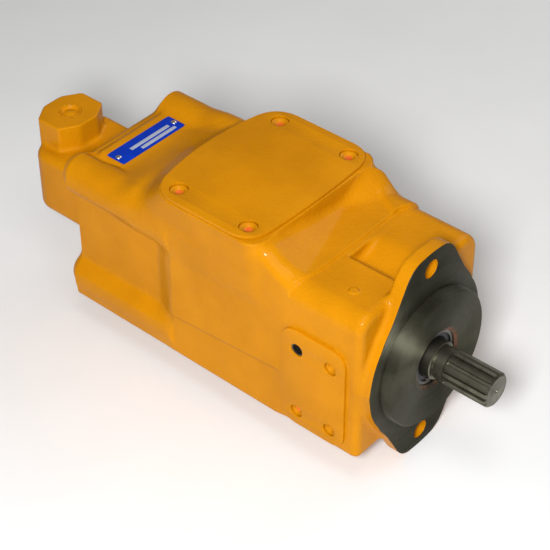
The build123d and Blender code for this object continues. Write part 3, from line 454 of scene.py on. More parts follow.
def surface_nets(field, axes):
    """Vertices and four-sided faces of the zero surface of a sampled field."""
    inside = field < 0
    cells = np.array(field.shape) - 1
    total = np.zeros((cells.prod(), 3))
    count = np.zeros(cells.prod())
    corners_of, leaves_of = [], []
    for axis in range(3):
        edges, leaves = crossings(inside, axis)
        next_edges = edges.copy()
        next_edges[:, axis] += 1
        a, b = field[tuple(edges.T)], field[tuple(next_edges.T)]
        places = np.stack([axes[i][edges[:, i]] for i in range(3)], 1).astype(float)
        line = axes[axis]
        places[:, axis] += (a / (a - b)) * (line[next_edges[:, axis]] - line[edges[:, axis]])
        second, third = (axis + 1) % 3, (axis + 2) % 3
        ring = []
        for shift_2, shift_3 in ((1, 1), (0, 1), (0, 0), (1, 0)):
            cell = edges.copy()
            cell[:, second] -= shift_2
            cell[:, third] -= shift_3
            ids = (cell[:, 0] * cells[1] + cell[:, 1]) * cells[2] + cell[:, 2]
            count += np.bincount(ids, minlength=len(count))
            for i in range(3):
                total[:, i] += np.bincount(ids, weights=places[:, i], minlength=len(count))
            ring.append(ids)
        corners_of.append(np.stack(ring, 1))
        leaves_of.append(leaves)
    used = np.flatnonzero(count)
    number = np.full(len(count), -1)
    number[used] = np.arange(len(used))
    faces = number[np.concatenate(corners_of)]
    leaves = np.concatenate(leaves_of)
    faces[~leaves] = faces[~leaves][:, ::-1]
    return total[used] / count[used, None], faces


def mesh_object(name, points, faces, normals):
    """Mesh object from four-sided faces, in millimetres, with a normal for each face corner."""
    mesh = bpy.data.meshes.new(name)
    mesh.vertices.add(len(points))
    mesh.vertices.foreach_set("co", (np.asarray(points) * MM).astype(np.float32).ravel())
    mesh.loops.add(faces.size)
    mesh.loops.foreach_set("vertex_index", faces.ravel().astype(np.int32))
    mesh.polygons.add(len(faces))
    mesh.polygons.foreach_set("loop_start", np.arange(0, faces.size, 4, dtype=np.int32))
    mesh.update(calc_edges=True)
    mesh.validate()
    mesh.polygons.foreach_set("use_smooth", np.ones(len(mesh.polygons), bool))
    mesh.normals_split_custom_set(normals.reshape(-1, 3))
    piece = bpy.data.objects.new(name, mesh)
    bpy.context.scene.collection.objects.link(piece)
    return piece


def casting(name, shape, ends, low, high, step):
    """Mesh of an implicit casting, cut square and sharp at two planes along X."""
    start, stop = ends
    pieces = round((stop - start) / step)
    pitch = (stop - start) / pieces
    xs = start + (np.arange(pieces + 4) - 1.5) * pitch
    ys = np.arange(low[0] - 2 * step, high[0] + 2.5 * step, step)
    zs = np.arange(low[1] - 2 * step, high[1] + 2.5 * step, step)
    grid = [a.astype(np.float32) for a in (xs, ys, zs)]
    x, y, z = grid[0][:, None, None], grid[1][None, :, None], grid[2][None, None, :]
    field = np.maximum(shape(x, y, z), along(x, start, stop)).astype(np.float32)
    points, faces = surface_nets(field, grid)
    on_start = np.abs(points[:, 0] - start) < pitch * 0.5
    on_stop = np.abs(points[:, 0] - stop) < pitch * 0.5
    on_end = on_start | on_stop
    for _ in range(3):
        points[on_start, 0] = start
        points[on_stop, 0] = stop
        distance = shape(*points.T)
        moving = ~on_end | (np.abs(distance) < step * 0.8)
        chosen = points[moving]
        slope = gradient(shape, chosen)
        slope[on_end[moving], 0] = 0
        size = np.maximum((slope ** 2).sum(1), 0.2)
        shift = -slope * (distance[moving] / size)[:, None]
        points[moving] = chosen + np.clip(shift, -0.5 * step, 0.5 * step)
    points[on_start, 0] = start
    points[on_stop, 0] = stop
    slope = gradient(shape, points)
    slope /= np.maximum(np.linalg.norm(slope, axis=1), 1e-6)[:, None]
    normals = slope[faces]
    flat = on_end[faces].all(1)
    side = np.where(on_stop[faces[:, 0]], 1.0, -1.0)
    normals[flat] = np.array([1.0, 0, 0]) * side[flat][:, None, None]
    return mesh_object(name, points, faces, normals)


def outline_points(shape, centre, count):
    """Points round the zero line of a 2-D field, found along rays from its centre."""
    turns = np.linspace(0, math.tau, count, endpoint=False)
    low, high = np.zeros(count), np.full(count, 200.0)
    for _ in range(40):
        middle = (low + high) / 2
        value = shape(centre[0] + middle * np.cos(turns), centre[1] + middle * np.sin(turns))
        low = np.where(value < 0, middle, low)
        high = np.where(value < 0, high, middle)
    return [(centre[0] + r * math.cos(t), centre[1] + r * math.sin(t)) for r, t in zip(low, turns)]


def circle_points(centre, radius, count):
    """Points round a circle."""
    turns = [math.tau * i / count for i in range(count)]
    return [(centre[0] + radius * math.cos(t), centre[1] + radius * math.sin(t)) for t in turns]


def sheet_piece(name, outline, holes, thick, bevel, to_row):
    """Flat plate with holes and softened edges; to_row places its (u, v, w) frame, w from 0 up."""
    curve = bpy.data.curves.new(name, "CURVE")
    curve.dimensions = "2D"
    curve.fill_mode = "BOTH"
    curve.extrude = thick * MM / 2 - bevel * MM
    curve.bevel_depth = bevel * MM
    curve.bevel_resolution = 2
    curve.offset = -bevel * MM
    for loop in [outline] + holes:
        spline = curve.splines.new("POLY")
        spline.points.add(len(loop) - 1)
        for point, (u, v) in zip(spline.points, loop):
            point.co = (u * MM, v * MM, 0, 1)
        spline.use_cyclic_u = True
    flat = bpy.data.objects.new(name + "_outline", curve)
    bpy.context.scene.collection.objects.link(flat)
    bpy.context.view_layer.update()
    filled = flat.evaluated_get(bpy.context.evaluated_depsgraph_get())
    mesh = bpy.data.meshes.new_from_object(filled)
    bpy.data.objects.remove(flat)
    mesh.transform(Matrix.Translation((0, 0, thick * MM / 2)))
    mesh.transform(to_row)
    return finished_mesh(name, mesh, 35)


def finished_mesh(name, mesh, angle):
    """Object from a mesh with merged seams, outward normals and smooth shading up to an angle."""
    work = bmesh.new()
    work.from_mesh(mesh)
    bmesh.ops.remove_doubles(work, verts=work.verts, dist=1e-6)
    bmesh.ops.recalc_face_normals(work, faces=work.faces)
    work.to_mesh(mesh)
    work.free()
    mesh.name = name
    mesh.materials.clear()
    piece = bpy.data.objects.new(name, mesh)
    bpy.context.scene.collection.objects.link(piece)
    mesh.shade_smooth()
    mesh.set_sharp_from_angle(angle=math.radians(angle))
    return piece


def turned_mesh(rings, segments):
    """Closed surface of revolution through rings of (height, radius)."""
    points, faces = [], []
    for height, radius in rings:
        for i in range(segments):
            turn = math.tau * i / segments
            points.append((radius * math.cos(turn) * MM, radius * math.sin(turn) * MM, height * MM))
    for k in range(len(rings)):
        here, after = k * segments, (k + 1) % len(rings) * segments
        for i in range(segments):
            j = (i + 1) % segments
            faces.append((here + i, here + j, after + j, after + i))
    mesh = bpy.data.meshes.new("turned")
    mesh.from_pydata(points, [], faces)
    return mesh


def merged(meshes):
    """One mesh from several."""
    work = bmesh.new()
    for mesh in meshes:
        work.from_mesh(mesh)
    result = bpy.data.meshes.new("merged")
    work.to_mesh(result)
    work.free()
    return result


def axes_matrix(u, v, w):
    """Matrix that carries a frame's axes to the directions u, v, w."""
    return Matrix((u, v, w)).transposed().to_4x4()


def place(u, v, w, origin):
    """Matrix that carries a frame to row directions u, v, w and an origin in millimetres."""
    return Matrix.Translation(Vector(origin) * MM) @ axes_matrix(u, v, w)


def upright(x, y, z):
    """Place with the third axis up."""
    return place((1, 0, 0), (0, 1, 0), (0, 0, 1), (x, y, z))


def on_side(x, y, z):
    """Place with the third axis out of the near side."""
    return place((1, 0, 0), (0, 0, 1), (0, -1, 0), (x, y, z))


ALONG_X = place((0, 1, 0), (0, 0, 1), (1, 0, 0), (0, 0, 0))


# ================================================================== materials
class Nodes:
    """Small helper for building a procedural material."""

    def __init__(self, name):
        self.material = bpy.data.materials.new(name)
        self.material.use_nodes = True
        self.tree = self.material.node_tree
        self.shader = self.tree.nodes["Principled BSDF"]

    def feed(self, socket, value):
        """Link a socket to another node's output, or set its value."""
        if isinstance(value, bpy.types.NodeSocket):
            self.tree.links.new(value, socket)
        else:
            socket.default_value = value

    def add(self, kind, **inputs):
        """New node with some of its inputs fed."""
        node = self.tree.nodes.new(kind)
        for key, value in inputs.items():
            self.feed(node.inputs[key.replace("_", " ")], value)
        return node

    def set(self, name, value):
        """Feed one of the shader's own inputs."""
        self.feed(self.shader.inputs[name], value)

    def place(self):
        """Place on the piece, in metres."""
        return self.add("ShaderNodeTexCoord").outputs["Object"]

    def noise(self, scale, detail=3.0, rough=0.5, where=None):
        """Noise from 0 to 1, by default over the piece."""
        node = self.add("ShaderNodeTexNoise", Vector=where or self.place(), Scale=scale,
                        Detail=detail, Roughness=rough)
        return node.outputs["Fac"]

    def math(self, operation, a, b):
        """One sum on two values."""
        node = self.tree.nodes.new("ShaderNodeMath")
        node.operation = operation
        self.feed(node.inputs[0], a)
        self.feed(node.inputs[1], b)
        return node.outputs[0]

    def span(self, value, low, high, to_low=0.0, to_high=1.0):
        """A value carried from one range to another, held at the ends."""
        node = self.add("ShaderNodeMapRange", Value=value)
        ends = {"From Min": low, "From Max": high, "To Min": to_low, "To Max": to_high}
        for key, number in ends.items():
            node.inputs[key].default_value = number
        return node.outputs["Result"]

    def mix(self, factor, a, b):
        """Blend of two colours, which are inputs 6 and 7 of the mix node."""
        node = self.tree.nodes.new("ShaderNodeMix")
        node.data_type = "RGBA"
        for socket, value in ((node.inputs[0], factor), (node.inputs[6], a), (node.inputs[7], b)):
            self.feed(socket, value)
        return node.outputs[2]

    def bump(self, height, distance, strength, under=None):
        """Normal bent by a height, laid over another bump if there is one."""
        node = self.add("ShaderNodeBump", Height=height, Distance=distance, Strength=strength)
        if under is not None:
            self.tree.links.new(under, node.inputs["Normal"])
        return node.outputs["Normal"]

    def pointiness(self):
        """Low in creases and high on edges of the mesh."""
        return self.add("ShaderNodeNewGeometry").outputs["Pointiness"]


def enamel(name, cast):
    """Glossy yellow enamel over a cast surface, with orange peel and painted shade that darkens its
    creases.
    """
    n = Nodes(name)
    patches = n.noise(18.0, 4.0)
    colour = n.mix(n.span(patches, 0.35, 0.65), (0.50, 0.190, 0.0012, 1), (0.58, 0.224, 0.0016, 1))
    # Painted shade: where the mesh's pointiness is low, in creases and hollows, the colour is
    # darkened towards deep brown.
    painted_crease_shade = n.span(n.pointiness(), 0.36, 0.45)
    colour = n.mix(n.math("SUBTRACT", 1.0, painted_crease_shade), colour, (0.26, 0.080, 0.0008, 1))
    fine = n.noise(900.0, 2.0)
    colour = n.mix(n.span(fine, 0.3, 0.75, 0.0, 0.10), colour, (0.38, 0.125, 0.001, 1))
    n.set("Base Color", colour)
    n.set("Roughness", n.span(n.noise(60.0), 0.3, 0.7, 0.34, 0.46))
    n.set("Specular IOR Level", 0.04)
    n.set("Coat Weight", 0.12)
    n.set("Coat Roughness", 0.06)
    lumps = n.bump(n.noise(95.0, 3.0), 0.0009 * cast, 0.4)
    peel = n.bump(n.noise(420.0, 3.0, 0.6), 0.0007 * cast, 0.8, lumps)
    n.set("Normal", peel)
    return n.material


def turned_iron(name):
    """Bare iron faced on a lathe: rings of tool marks, oil-dark with faint rust, and painted shade
    in the seal bore.
    """
    n = Nodes(name)
    where = n.place()
    parts = n.add("ShaderNodeSeparateXYZ", Vector=where)
    flat = n.add("ShaderNodeCombineXYZ", Y=parts.outputs["Y"], Z=parts.outputs["Z"])
    length = n.tree.nodes.new("ShaderNodeVectorMath")
    length.operation = "LENGTH"
    n.tree.links.new(flat.outputs["Vector"], length.inputs[0])
    radius = length.outputs["Value"]
    drift = n.math("MULTIPLY", n.noise(14.0, 2.0), 0.0022)
    rings = n.add("ShaderNodeCombineXYZ", X=n.math("ADD", radius, drift))
    tool = n.noise(2600.0, 2.0, 0.6, rings.outputs["Vector"])
    broad = n.noise(260.0, 2.0, 0.5, rings.outputs["Vector"])
    stain = n.noise(30.0, 5.0, 0.65)
    colour = n.mix(n.span(stain, 0.35, 0.68), (0.062, 0.060, 0.038, 1), (0.12, 0.116, 0.082, 1))
    colour = n.mix(n.span(broad, 0.3, 0.7, 0.0, 0.35), colour, (0.045, 0.043, 0.028, 1))
    spots = n.span(n.noise(75.0, 5.0, 0.7), 0.42, 0.62)
    band = n.math("MULTIPLY", n.span(radius, 0.0245, 0.0265), n.span(radius, 0.0305, 0.0275))
    rust = n.math("MULTIPLY", spots, band)
    colour = n.mix(rust, colour, (0.20, 0.055, 0.016, 1))
    # Painted shade: from a radius of about 26.3 mm inwards, down the seal bore, the colour is
    # darkened towards near black.
    colour = n.mix(n.span(radius, 0.0263, 0.0255), colour, (0.014, 0.012, 0.008, 1))
    n.set("Base Color", colour)
    n.set("Metallic", n.span(rust, 0.0, 1.0, 0.92, 0.15))
    n.set("Roughness", n.span(stain, 0.3, 0.7, 0.60, 0.70))
    n.set("Anisotropic", 0.9)
    n.set("Anisotropic Rotation", 0.25)
    tangent = n.tree.nodes.new("ShaderNodeTangent")
    tangent.direction_type = "RADIAL"
    tangent.axis = "X"
    n.set("Tangent", tangent.outputs["Tangent"])
    n.set("Normal", n.bump(tool, 0.00004, 0.6))
    return n.material


def plain_iron(name):
    """Unpainted cast iron inside the castings."""
    n = Nodes(name)
    patches = n.span(n.noise(45.0, 4.0), 0.3, 0.7)
    n.set("Base Color", n.mix(patches, (0.10, 0.095, 0.085, 1), (0.19, 0.18, 0.165, 1)))
    n.set("Metallic", 0.8)
    n.set("Roughness", n.span(n.noise(200.0), 0.3, 0.7, 0.42, 0.6))
    n.set("Normal", n.bump(n.noise(420.0, 4.0, 0.6), 0.0003, 0.5))
    return n.material


def steel(name, light, dark, rough):
    """Turned or ground steel with a grain along the shaft and light handling marks."""
    n = Nodes(name)
    stretch = n.add("ShaderNodeMapping", Vector=n.place())
    stretch.inputs["Scale"].default_value = (1.0, 0.06, 0.06)
    marks = n.noise(1400.0, 2.0, 0.5, stretch.outputs["Vector"])
    stain = n.noise(70.0, 5.0, 0.65)
    n.set("Base Color", n.mix(n.span(stain, 0.32, 0.68), dark, light))
    n.set("Metallic", 1.0)
    n.set("Roughness", n.span(stain, 0.3, 0.7, rough + 0.10, rough))
    n.set("Normal", n.bump(marks, 0.00003, 0.5))
    return n.material


def simple(name, low, high, metallic, rough, scale=160.0, depth=0.0001, shine=0.5):
    """Procedural surface of two close colours with a fine bump."""
    n = Nodes(name)
    n.set("Base Color", n.mix(n.span(n.noise(scale, 4.0), 0.3, 0.7), low, high))
    n.set("Metallic", metallic)
    n.set("Specular IOR Level", shine)
    roughest = min(rough * 1.15, 1.0)
    n.set("Roughness", n.span(n.noise(scale * 2.3), 0.3, 0.7, rough * 0.85, roughest))
    n.set("Normal", n.bump(n.noise(scale * 4, 3.0), depth, 0.4))
    return n.material


ENAMEL = enamel("yellow_enamel", 1.0)
SMOOTH_ENAMEL = enamel("plate_enamel", 0.7)
TURNED_IRON = turned_iron("machined_iron")
RAW_IRON = plain_iron("raw_iron")
SHAFT_STEEL = steel("shaft_steel", (0.20, 0.19, 0.145, 1), (0.09, 0.085, 0.06, 1), 0.36)
GROUND_STEEL = steel("ground_steel", (0.50, 0.49, 0.46, 1), (0.34, 0.33, 0.31, 1), 0.2)
SPRING_STEEL = steel("spring_steel", (0.22, 0.22, 0.23, 1), (0.11, 0.11, 0.12, 1), 0.32)
DARK_THREAD = steel("thread_steel", (0.16, 0.15, 0.13, 1), (0.05, 0.048, 0.042, 1), 0.34)
BRONZE = simple("bronze", (0.42, 0.23, 0.09, 1), (0.52, 0.31, 0.13, 1), 1.0, 0.32)
RUBBER = simple("seal_rubber", (0.012, 0.012, 0.013, 1), (0.022, 0.022, 0.024, 1), 0.0, 0.55)
BLUE = simple("blue_plate", (0.001, 0.026, 0.34, 1), (0.002, 0.034, 0.42, 1), 0.0, 0.3,
              scale=90.0, shine=0.12)
PALE_FIELD = simple("pale_field", (0.38, 0.42, 0.52, 1), (0.46, 0.50, 0.60, 1), 0.2, 0.4,
                    scale=220.0)
ALUMINIUM = simple("rivet_aluminium", (0.62, 0.61, 0.58, 1), (0.78, 0.77, 0.74, 1), 1.0, 0.28)
# Painted shadow: dark brown for the sheet that draws a shadow line along the outlet plate's rear
# edge.
GAP_SHADOW = simple("gap_shadow", (0.060, 0.018, 0.002, 1), (0.085, 0.026, 0.003, 1), 0.0, 0.8, shine=0.1)
CORE = simple("orange_core", (0.60, 0.10, 0.006, 1), (0.72, 0.15, 0.008, 1), 0.0, 0.45)


CAD_FINISH = {
    SHAFT_STEEL: ["drive_shaft", "adjuster_screw"],
    DARK_THREAD: ["seal_retaining_ring"],
    ENAMEL: ["tie_bolts", "compensator_plug", "adjuster_locknut"],
    RUBBER: ["shaft_seal", "inlet_plate_seal", "case_joint_seal"],
    BRONZE: ["slippers", "valve_plate", "saddle_bearings", "front_bearing_cage",
             "rear_bearing_cage", "bias_guide"],
    SPRING_STEEL: ["block_spring", "bias_spring", "compensator_spring"],
    GROUND_STEEL: ["cylinder_block", "pistons", "retainer_plate", "ball_guide", "spring_washer",
                   "valve_plate_pins", "swash_plate", "wear_plate", "control_piston",
                   "control_sleeve", "bias_piston", "compensator_spool", "spring_seat",
                   "front_bearing_outer_race",
                   "front_bearing_inner_race", "front_bearing_rollers", "rear_bearing_outer_race",
                   "rear_bearing_inner_race", "rear_bearing_rollers"],
}


def dress(piece, *materials):
    """Give a piece its materials."""
    piece.data.materials.clear()
    for material in materials:
        piece.data.materials.append(material)


def fit(piece, body, slot, *nodes):
    """Fix a piece to a CAD body and hide the nodes that it stands for; the slot is not used."""
    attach(piece, body)
    if nodes:
        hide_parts(*nodes)


def add_to_housing(piece, material, slot, *nodes):
    """Dress a piece and fix it to the housing."""
    dress(piece, material)
    fit(piece, "housing", slot, *nodes)


def bare_inside(piece, test):
    """Use the second material on faces whose centres, in millimetres, pass a test of (x, y, z)."""
    mesh = piece.data
    centres = np.empty(len(mesh.polygons) * 3, np.float32)
    mesh.polygons.foreach_get("center", centres)
    x, y, z = centres.reshape(-1, 3).T / MM
    mesh.polygons.foreach_set("material_index", test(x, y, z).astype(np.int32))


# ================================================================== pieces
def make_casting(node, shape, ends, low, high, step, bare):
    """One casting, painted outside and bare where the test says so."""
    piece = casting(node + "_casting", shape, ends, low, high, step)
    dress(piece, ENAMEL, RAW_IRON)
    bare_inside(piece, bare)
    fit(piece, "housing", "yellow_enamel", node)


def front_bare(x, y, z):
    """Bare parts of the front housing: both ends and the bore."""
    return (x < JOINT_X + 0.1) | (np.hypot(y, z) < SEAL_BORE_R + 1) | (x > -SKIN - 0.1)


def main_bare(x, y, z):
    """Bare parts of the main housing: the front end and the bore."""
    bore = np.where(x < REAR_X + REAR_BORE_LENGTH + 1, REAR_BORE_R + 2.2, CAVITY_R + 1)
    return (x > JOINT_X - 0.1) | (np.hypot(y, z) < bore)


def rear_bare(x, y, z):
    """Bare parts of the rear cover: the middle of its front."""
    return (x > REAR_X - 0.1) & (np.hypot(y, z) < 60)


def make_castings():
    """The three castings."""
    make_casting("front_housing", front_casting, (JOINT_X, -SKIN), (-HALF_WIDTH, -EAR_TIP_R),
                 (HALF_WIDTH + FAR_SPREAD, EAR_TIP_R), FRONT_GRID, front_bare)
    make_casting("main_housing", main_casting, (REAR_X, JOINT_X), (-PAD_HALF - 1, BOTTOM_Z),
                 (PAD_HALF + 1, PAD_Z), MAIN_GRID, main_bare)
    boss_y, boss_z = TIE_Y + BOSS_R, TIE_Z + BOSS_R
    make_casting("rear_cover", rear_casting, (COVER_LOW[0] - 2, COVER_FRONT_X), (-boss_y, -boss_z),
                 (boss_y, boss_z), COVER_GRID, rear_bare)


def make_machined_face():
    """Bare flange face and pilot, with chamfers, a root groove and the seal bore."""
    outline = outline_points(flange_outline, (0, 0), 420)
    holes = [circle_points((0, z), BOLT_R, 72) for z in (-BOLT_Z, BOLT_Z)]
    holes.append(circle_points((0, 0), PILOT_R - 1.5, 128))
    face = sheet_piece("flange_face", outline, holes, SKIN, 0.12, ALONG_X @ upright(0, 0, -SKIN))
    add_to_housing(face, TURNED_IRON, "machined_iron", "front_housing")
    end = PILOT_FRONT_X
    rings = [(-SKIN, PILOT_R - 1.6), (0.9, PILOT_R - 1.6), (1.7, PILOT_R - 0.4), (2.0, PILOT_R),
             (end - 1.3, PILOT_R), (end - 1.1, PILOT_R - 0.1), (end - 0.1, PILOT_R - 1.1),
             (end, PILOT_R - 1.4), (end, 38.0), (end - 0.25, 37.4), (end - 0.25, 30.2),
             (end - 0.3, 29.9), (end - 2.2, 27.4), (end - 2.4, 27.0),
             (end - 2.4, SEAL_BORE_R + 0.2), (end - 2.7, SEAL_BORE_R), (-SKIN, SEAL_BORE_R)]
    mesh = turned_mesh(rings, 160)
    mesh.transform(ALONG_X)
    pilot = finished_mesh("flange_pilot_ring", mesh, 25)
    add_to_housing(pilot, TURNED_IRON, "machined_iron", "front_housing")


def inlet_plate_outline(x, y):
    """Inlet plate: straight sides and bowed ends."""
    arch = bow(y, INLET_HALF_WIDTH)
    front = x - (INLET_X + INLET_HALF_LENGTH + 4 * arch)
    rear = (INLET_X - INLET_HALF_LENGTH - PAD_BOW * arch) - x
    return smooth_max(np.maximum(front, rear), np.abs(y) - INLET_HALF_WIDTH, 24)


def outlet_plate_outline(x, z):
    """Outlet plate: rounded corners and one bowed end."""
    low, high = OUTLET_LOW[2] + 5, OUTLET_HIGH[2] - 4
    middle, half = (low + high) / 2, (high - low) / 2
    rear = OUTLET_END_X - 2.8 * bow(z - middle, half) - x
    ends = np.maximum(rear, x - OUTLET_HIGH[0])
    return smooth_max(ends, np.abs(z - middle) - half, 15)


def socket_screw(radius, depth, spot):
    """Painted screw with a rounded rim and a dish of paint in its socket, top at height 0."""
    key = radius * 0.56
    rings = [(-depth, AXIS_R), (-depth, radius), (-0.9, radius), (-0.35, radius - 0.25),
             (-0.05, radius - 0.8), (0, radius - 1.3), (-0.3, key + 1.4), (-0.9, key + 0.5),
             (-1.8, key - 0.3), (-2.6, key * 0.7), (-3.0, key * 0.35), (-3.1, AXIS_R)]
    mesh = turned_mesh(rings, 48)
    mesh.transform(spot)
    return mesh


def socket_core(radius, spot):
    """Thin orange layer on the bottom of the dish."""
    key = radius * 0.56
    rings = [(-3.2, AXIS_R), (-2.5, key * 0.72), (-2.35, key * 0.74), (-2.85, key * 0.35),
             (-2.95, AXIS_R)]
    mesh = turned_mesh(rings, 48)
    mesh.transform(spot)
    return mesh


def make_plates():
    """Blanking plates over the two ports."""
    holes = [circle_points(c, INLET_SCREW_R + SCREW_PLAY, 56) for c in INLET_SCREWS]
    edge = outline_points(inlet_plate_outline, (INLET_X, 0), 360)
    plate = sheet_piece("inlet_plate", edge, holes, PLATE_THICK, PLATE_BEVEL,
                        upright(0, 0, INLET_LOW[2]))
    add_to_housing(plate, SMOOTH_ENAMEL, "yellow_enamel", "inlet_cover_plate")
    wall = on_side(0, -HALF_WIDTH, 0)
    holes = [circle_points(c, OUTLET_SCREW_R + SCREW_PLAY, 48) for c in OUTLET_SCREWS]
    edge = outline_points(outlet_plate_outline, (OUTLET_X, OUTLET_Z), 320)
    plate = sheet_piece("outlet_plate", edge, holes, PLATE_THICK, PLATE_BEVEL, wall)
    add_to_housing(plate, SMOOTH_ENAMEL, "yellow_enamel", "outlet_cover_plate")
    # Painted shadow: a thin dark sheet under the outlet plate, set 0.9 mm towards the rear, shows
    # as a dark line along the plate's rear edge.
    shifted = [(u - 0.9, v) for u, v in edge]
    gap_shadow_sheet = sheet_piece("outlet_plate_painted_shadow", shifted, holes, 0.3, 0.02, wall)
    add_to_housing(gap_shadow_sheet, GAP_SHADOW, "yellow_enamel", "outlet_cover_plate")


def make_screws(name, node, heads, cores):
    """A plate's screws, and the orange layers in their sockets."""
    screws = finished_mesh(name + "_screws", merged(heads), 40)
    add_to_housing(screws, SMOOTH_ENAMEL, "yellow_enamel", node)
    layers = finished_mesh(name + "_screw_cores", merged(cores), 40)
    add_to_housing(layers, CORE, "yellow_enamel", node)


def make_fasteners():
    """Four screws in the inlet plate; three and an open thread in the outlet plate."""
    spots = [upright(x, y, INLET_HIGH[2] - 1.5) for x, y in INLET_SCREWS]
    heads = [socket_screw(INLET_SCREW_R, 9.0, spot) for spot in spots]
    cores = [socket_core(INLET_SCREW_R, spot) for spot in spots]
    make_screws("inlet", "inlet_plate_screws", heads, cores)
    open_hole = min(OUTLET_SCREWS, key=lambda c: c[0] - c[1])
    closed = {c: on_side(c[0], -HALF_WIDTH - 1.6, c[1]) for c in OUTLET_SCREWS if c != open_hole}
    heads = [socket_screw(OUTLET_SCREW_R, 7.0, spot) for spot in closed.values()]
    cores = [socket_core(OUTLET_SCREW_R, closed[min(OUTLET_SCREWS)])]
    make_screws("outlet", "outlet_plate_screws", heads, cores)
    make_open_thread(open_hole)


def make_open_thread(centre):
    """Bare thread in the side plate's one open hole."""
    turns, steps, pitch = 7, 36, 1.75
    points, faces = [], []
    rows = ((6.2, 0.0), (5.25, 0.25), (5.25, 0.5), (6.15, 0.85), (6.15, 1.0))
    count = turns * steps
    for i in range(count + 1):
        turn = math.tau * i / steps
        for radius, share in rows:
            depth = pitch * (i / steps + share)
            points.append((radius * math.cos(turn) * MM, radius * math.sin(turn) * MM, -depth * MM))
    width = len(rows)
    for i in range(count):
        for k in range(width - 1):
            a = i * width + k
            faces.append((a, a + 1, a + width + 1, a + width))
    mesh = bpy.data.meshes.new("thread")
    mesh.from_pydata(points, [], faces)
    mesh.transform(on_side(centre[0], -HALF_WIDTH - 2.6, centre[1]))
    thread = finished_mesh("open_hole_thread", mesh, 30)
    add_to_housing(thread, DARK_THREAD, "machined_iron")


def box_sheet(name, low, high, corner, count, thick, bevel, z):
    """Flat rectangular piece with rounded corners, lying on a height z."""
    centre = ((low[0] + high[0]) / 2, (low[1] + high[1]) / 2)
    half = ((high[0] - low[0]) / 2, (high[1] - low[1]) / 2)

    def outline(u, v):
        return rounded_box_2d(u - centre[0], v - centre[1], half[0], half[1], corner)

    edge = outline_points(outline, centre, count)
    return sheet_piece(name, edge, [], thick, bevel, upright(0, 0, z))


def make_nameplate():
    """Blank blue plate with two pale fields and two rivets."""
    x0, x1, y0, y1 = NAME_LOW[0], NAME_HIGH[0], NAME_LOW[1], NAME_HIGH[1]
    plate = box_sheet("name_plate", (x0, y0), (x1, y1), 1.2, 200, 0.8, 0.18, LAND_Z)
    add_to_housing(plate, BLUE, "blue_plate", "nameplate")
    fields = []
    for low, high in (((x0 + 8.6, y0 + 20), (x0 + 12.6, y1 - 11)),
                      ((x0 + 14.6, y0 + 28), (x0 + 18.6, y1 - 8))):
        field = box_sheet("field", low, high, 0.4, 160, 0.1, 0.02, LAND_Z + 0.75)
        fields.append(field.data)
        bpy.data.objects.remove(field)
    pale = finished_mesh("name_plate_fields", merged(fields), 35)
    add_to_housing(pale, PALE_FIELD, "blue_plate", "nameplate")
    heads = []
    rings = [(-2.0, AXIS_R), (-2.0, 1.6), (0, 1.6), (0, 2.6), (0.35, 2.75), (0.9, 2.35),
             (1.25, 1.6), (1.4, 0.8), (1.45, AXIS_R)]
    rivet_low, rivet_high = box_mm("nameplate_rivets")
    for y in (rivet_low[1] + 3.2, rivet_high[1] - 3.2):
        mesh = turned_mesh(rings, 32)
        mesh.transform(upright((x0 + x1) / 2, y, LAND_Z + 0.8))
        heads.append(mesh)
    rivets = finished_mesh("name_plate_rivets", merged(heads), 35)
    add_to_housing(rivets, ALUMINIUM, "rivet_aluminium", "nameplate_rivets")


def make_port_plug():
    """Painted plug in the rear boss, with a shallow recess and a domed middle."""
    rings = [(-16, AXIS_R), (-16, 10.4), (-0.5, 10.4), (-0.05, 10.1), (-0.1, 9.1), (-1.6, 8.2),
             (-2.7, 7.0), (-2.5, 5.6), (-1.7, 3.6), (-1.2, 1.6), (-1.1, AXIS_R)]
    mesh = turned_mesh(rings, 48)
    mesh.transform(upright(PORT_X, 0, PORT_BOSS_TOP_Z))
    plug = finished_mesh("port_plug", mesh, 45)
    add_to_housing(plug, SMOOTH_ENAMEL, "yellow_enamel", "rear_port_plug")


def finish_cad_nodes():
    """Materials for the CAD nodes that stay."""
    for material, names in CAD_FINISH.items():
        for name in names:
            dress(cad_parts[name], material)


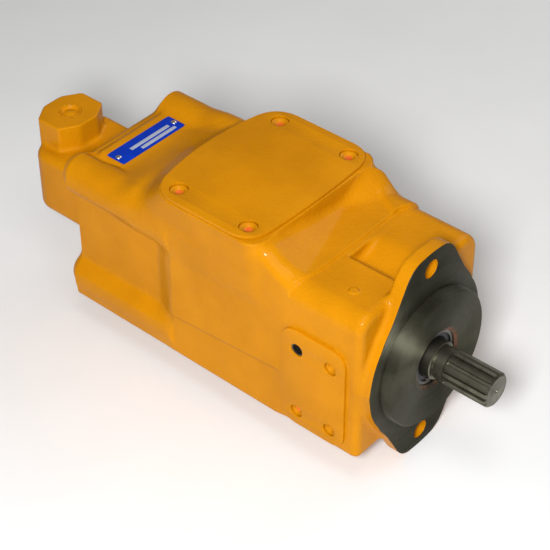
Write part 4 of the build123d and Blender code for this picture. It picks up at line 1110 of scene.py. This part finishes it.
# ================================================================== stage
def make_stage():
    """Pale floor and weak light from all round."""
    size = 6.0
    corners = [(-size, -size, 0), (size, -size, 0), (size, size, 0), (-size, size, 0)]
    mesh = bpy.data.meshes.new("floor")
    mesh.from_pydata(corners, [], [(0, 1, 2, 3)])
    floor = bpy.data.objects.new("floor", mesh)
    bpy.context.scene.collection.objects.link(floor)
    floor.location.z = cad_bounds[0][2] - 0.0005
    dress(floor, simple("pale_floor", (0.80, 0.80, 0.80, 1), (0.83, 0.83, 0.83, 1), 0.0, 0.9,
                        scale=8.0, depth=0.0, shine=0.1))
    world = bpy.data.worlds.new("soft_room")
    bpy.context.scene.world = world
    world.use_nodes = True
    background = world.node_tree.nodes["Background"]
    background.inputs["Color"].default_value = (1.0, 0.99, 0.97, 1)
    background.inputs["Strength"].default_value = 0.18


def area_light(name, place_m, target_m, size, watts):
    """Square area light aimed at a point."""
    data = bpy.data.lights.new(name, "AREA")
    data.size = size
    data.energy = watts
    lamp = bpy.data.objects.new(name, data)
    bpy.context.scene.collection.objects.link(lamp)
    lamp.location = place_m
    lamp.rotation_euler = (Vector(target_m) - Vector(place_m)).to_track_quat("-Z", "Y").to_euler()


CAMERA_PLACE = Vector((0.591679, -0.872383, 0.963796))
CAMERA_AZIMUTH = math.radians(40.992)
CAMERA_ELEVATION = math.radians(40.009)
CAMERA_ROLL = math.radians(-0.317)
SENSOR_MM = 36.0
FOCAL_MM = SENSOR_MM * 34 / 11
CLIP_END_M = 50


def make_camera():
    """Camera at the viewing angle of the reference, a little above and before the drive end."""
    a, e, r = CAMERA_AZIMUTH, CAMERA_ELEVATION, CAMERA_ROLL
    back = Vector((math.sin(a) * math.cos(e), -math.cos(a) * math.cos(e), math.sin(e)))
    level = Vector((math.cos(a), math.sin(a), 0))
    up = back.cross(level)
    right = math.cos(r) * level + math.sin(r) * up
    top = -math.sin(r) * level + math.cos(r) * up
    data = bpy.data.cameras.new("camera")
    data.sensor_width = SENSOR_MM
    data.lens = FOCAL_MM
    data.clip_end = CLIP_END_M
    camera = bpy.data.objects.new("camera", data)
    bpy.context.scene.collection.objects.link(camera)
    camera.matrix_world = Matrix.Translation(CAMERA_PLACE) @ axes_matrix(right, top, back)
    bpy.context.scene.camera = camera


def make_lights():
    """A soft lamp beside the camera, a broad one above and a weak one behind."""
    middle = (-0.17, 0, 0)
    area_light("flash", (0.52, -1.0, 0.95), middle, 0.3, 28.0)
    area_light("key", (0.3, -0.4, 1.7), middle, 0.7, 5.0)
    area_light("back", (-0.1, 1.5, 1.0), middle, 1.2, 8.0)
    bpy.context.scene.view_settings.view_transform = "Standard"


make_camera()
make_stage()
make_lights()
make_castings()
make_machined_face()
make_plates()
make_fasteners()
make_nameplate()
make_port_plug()
finish_cad_nodes()
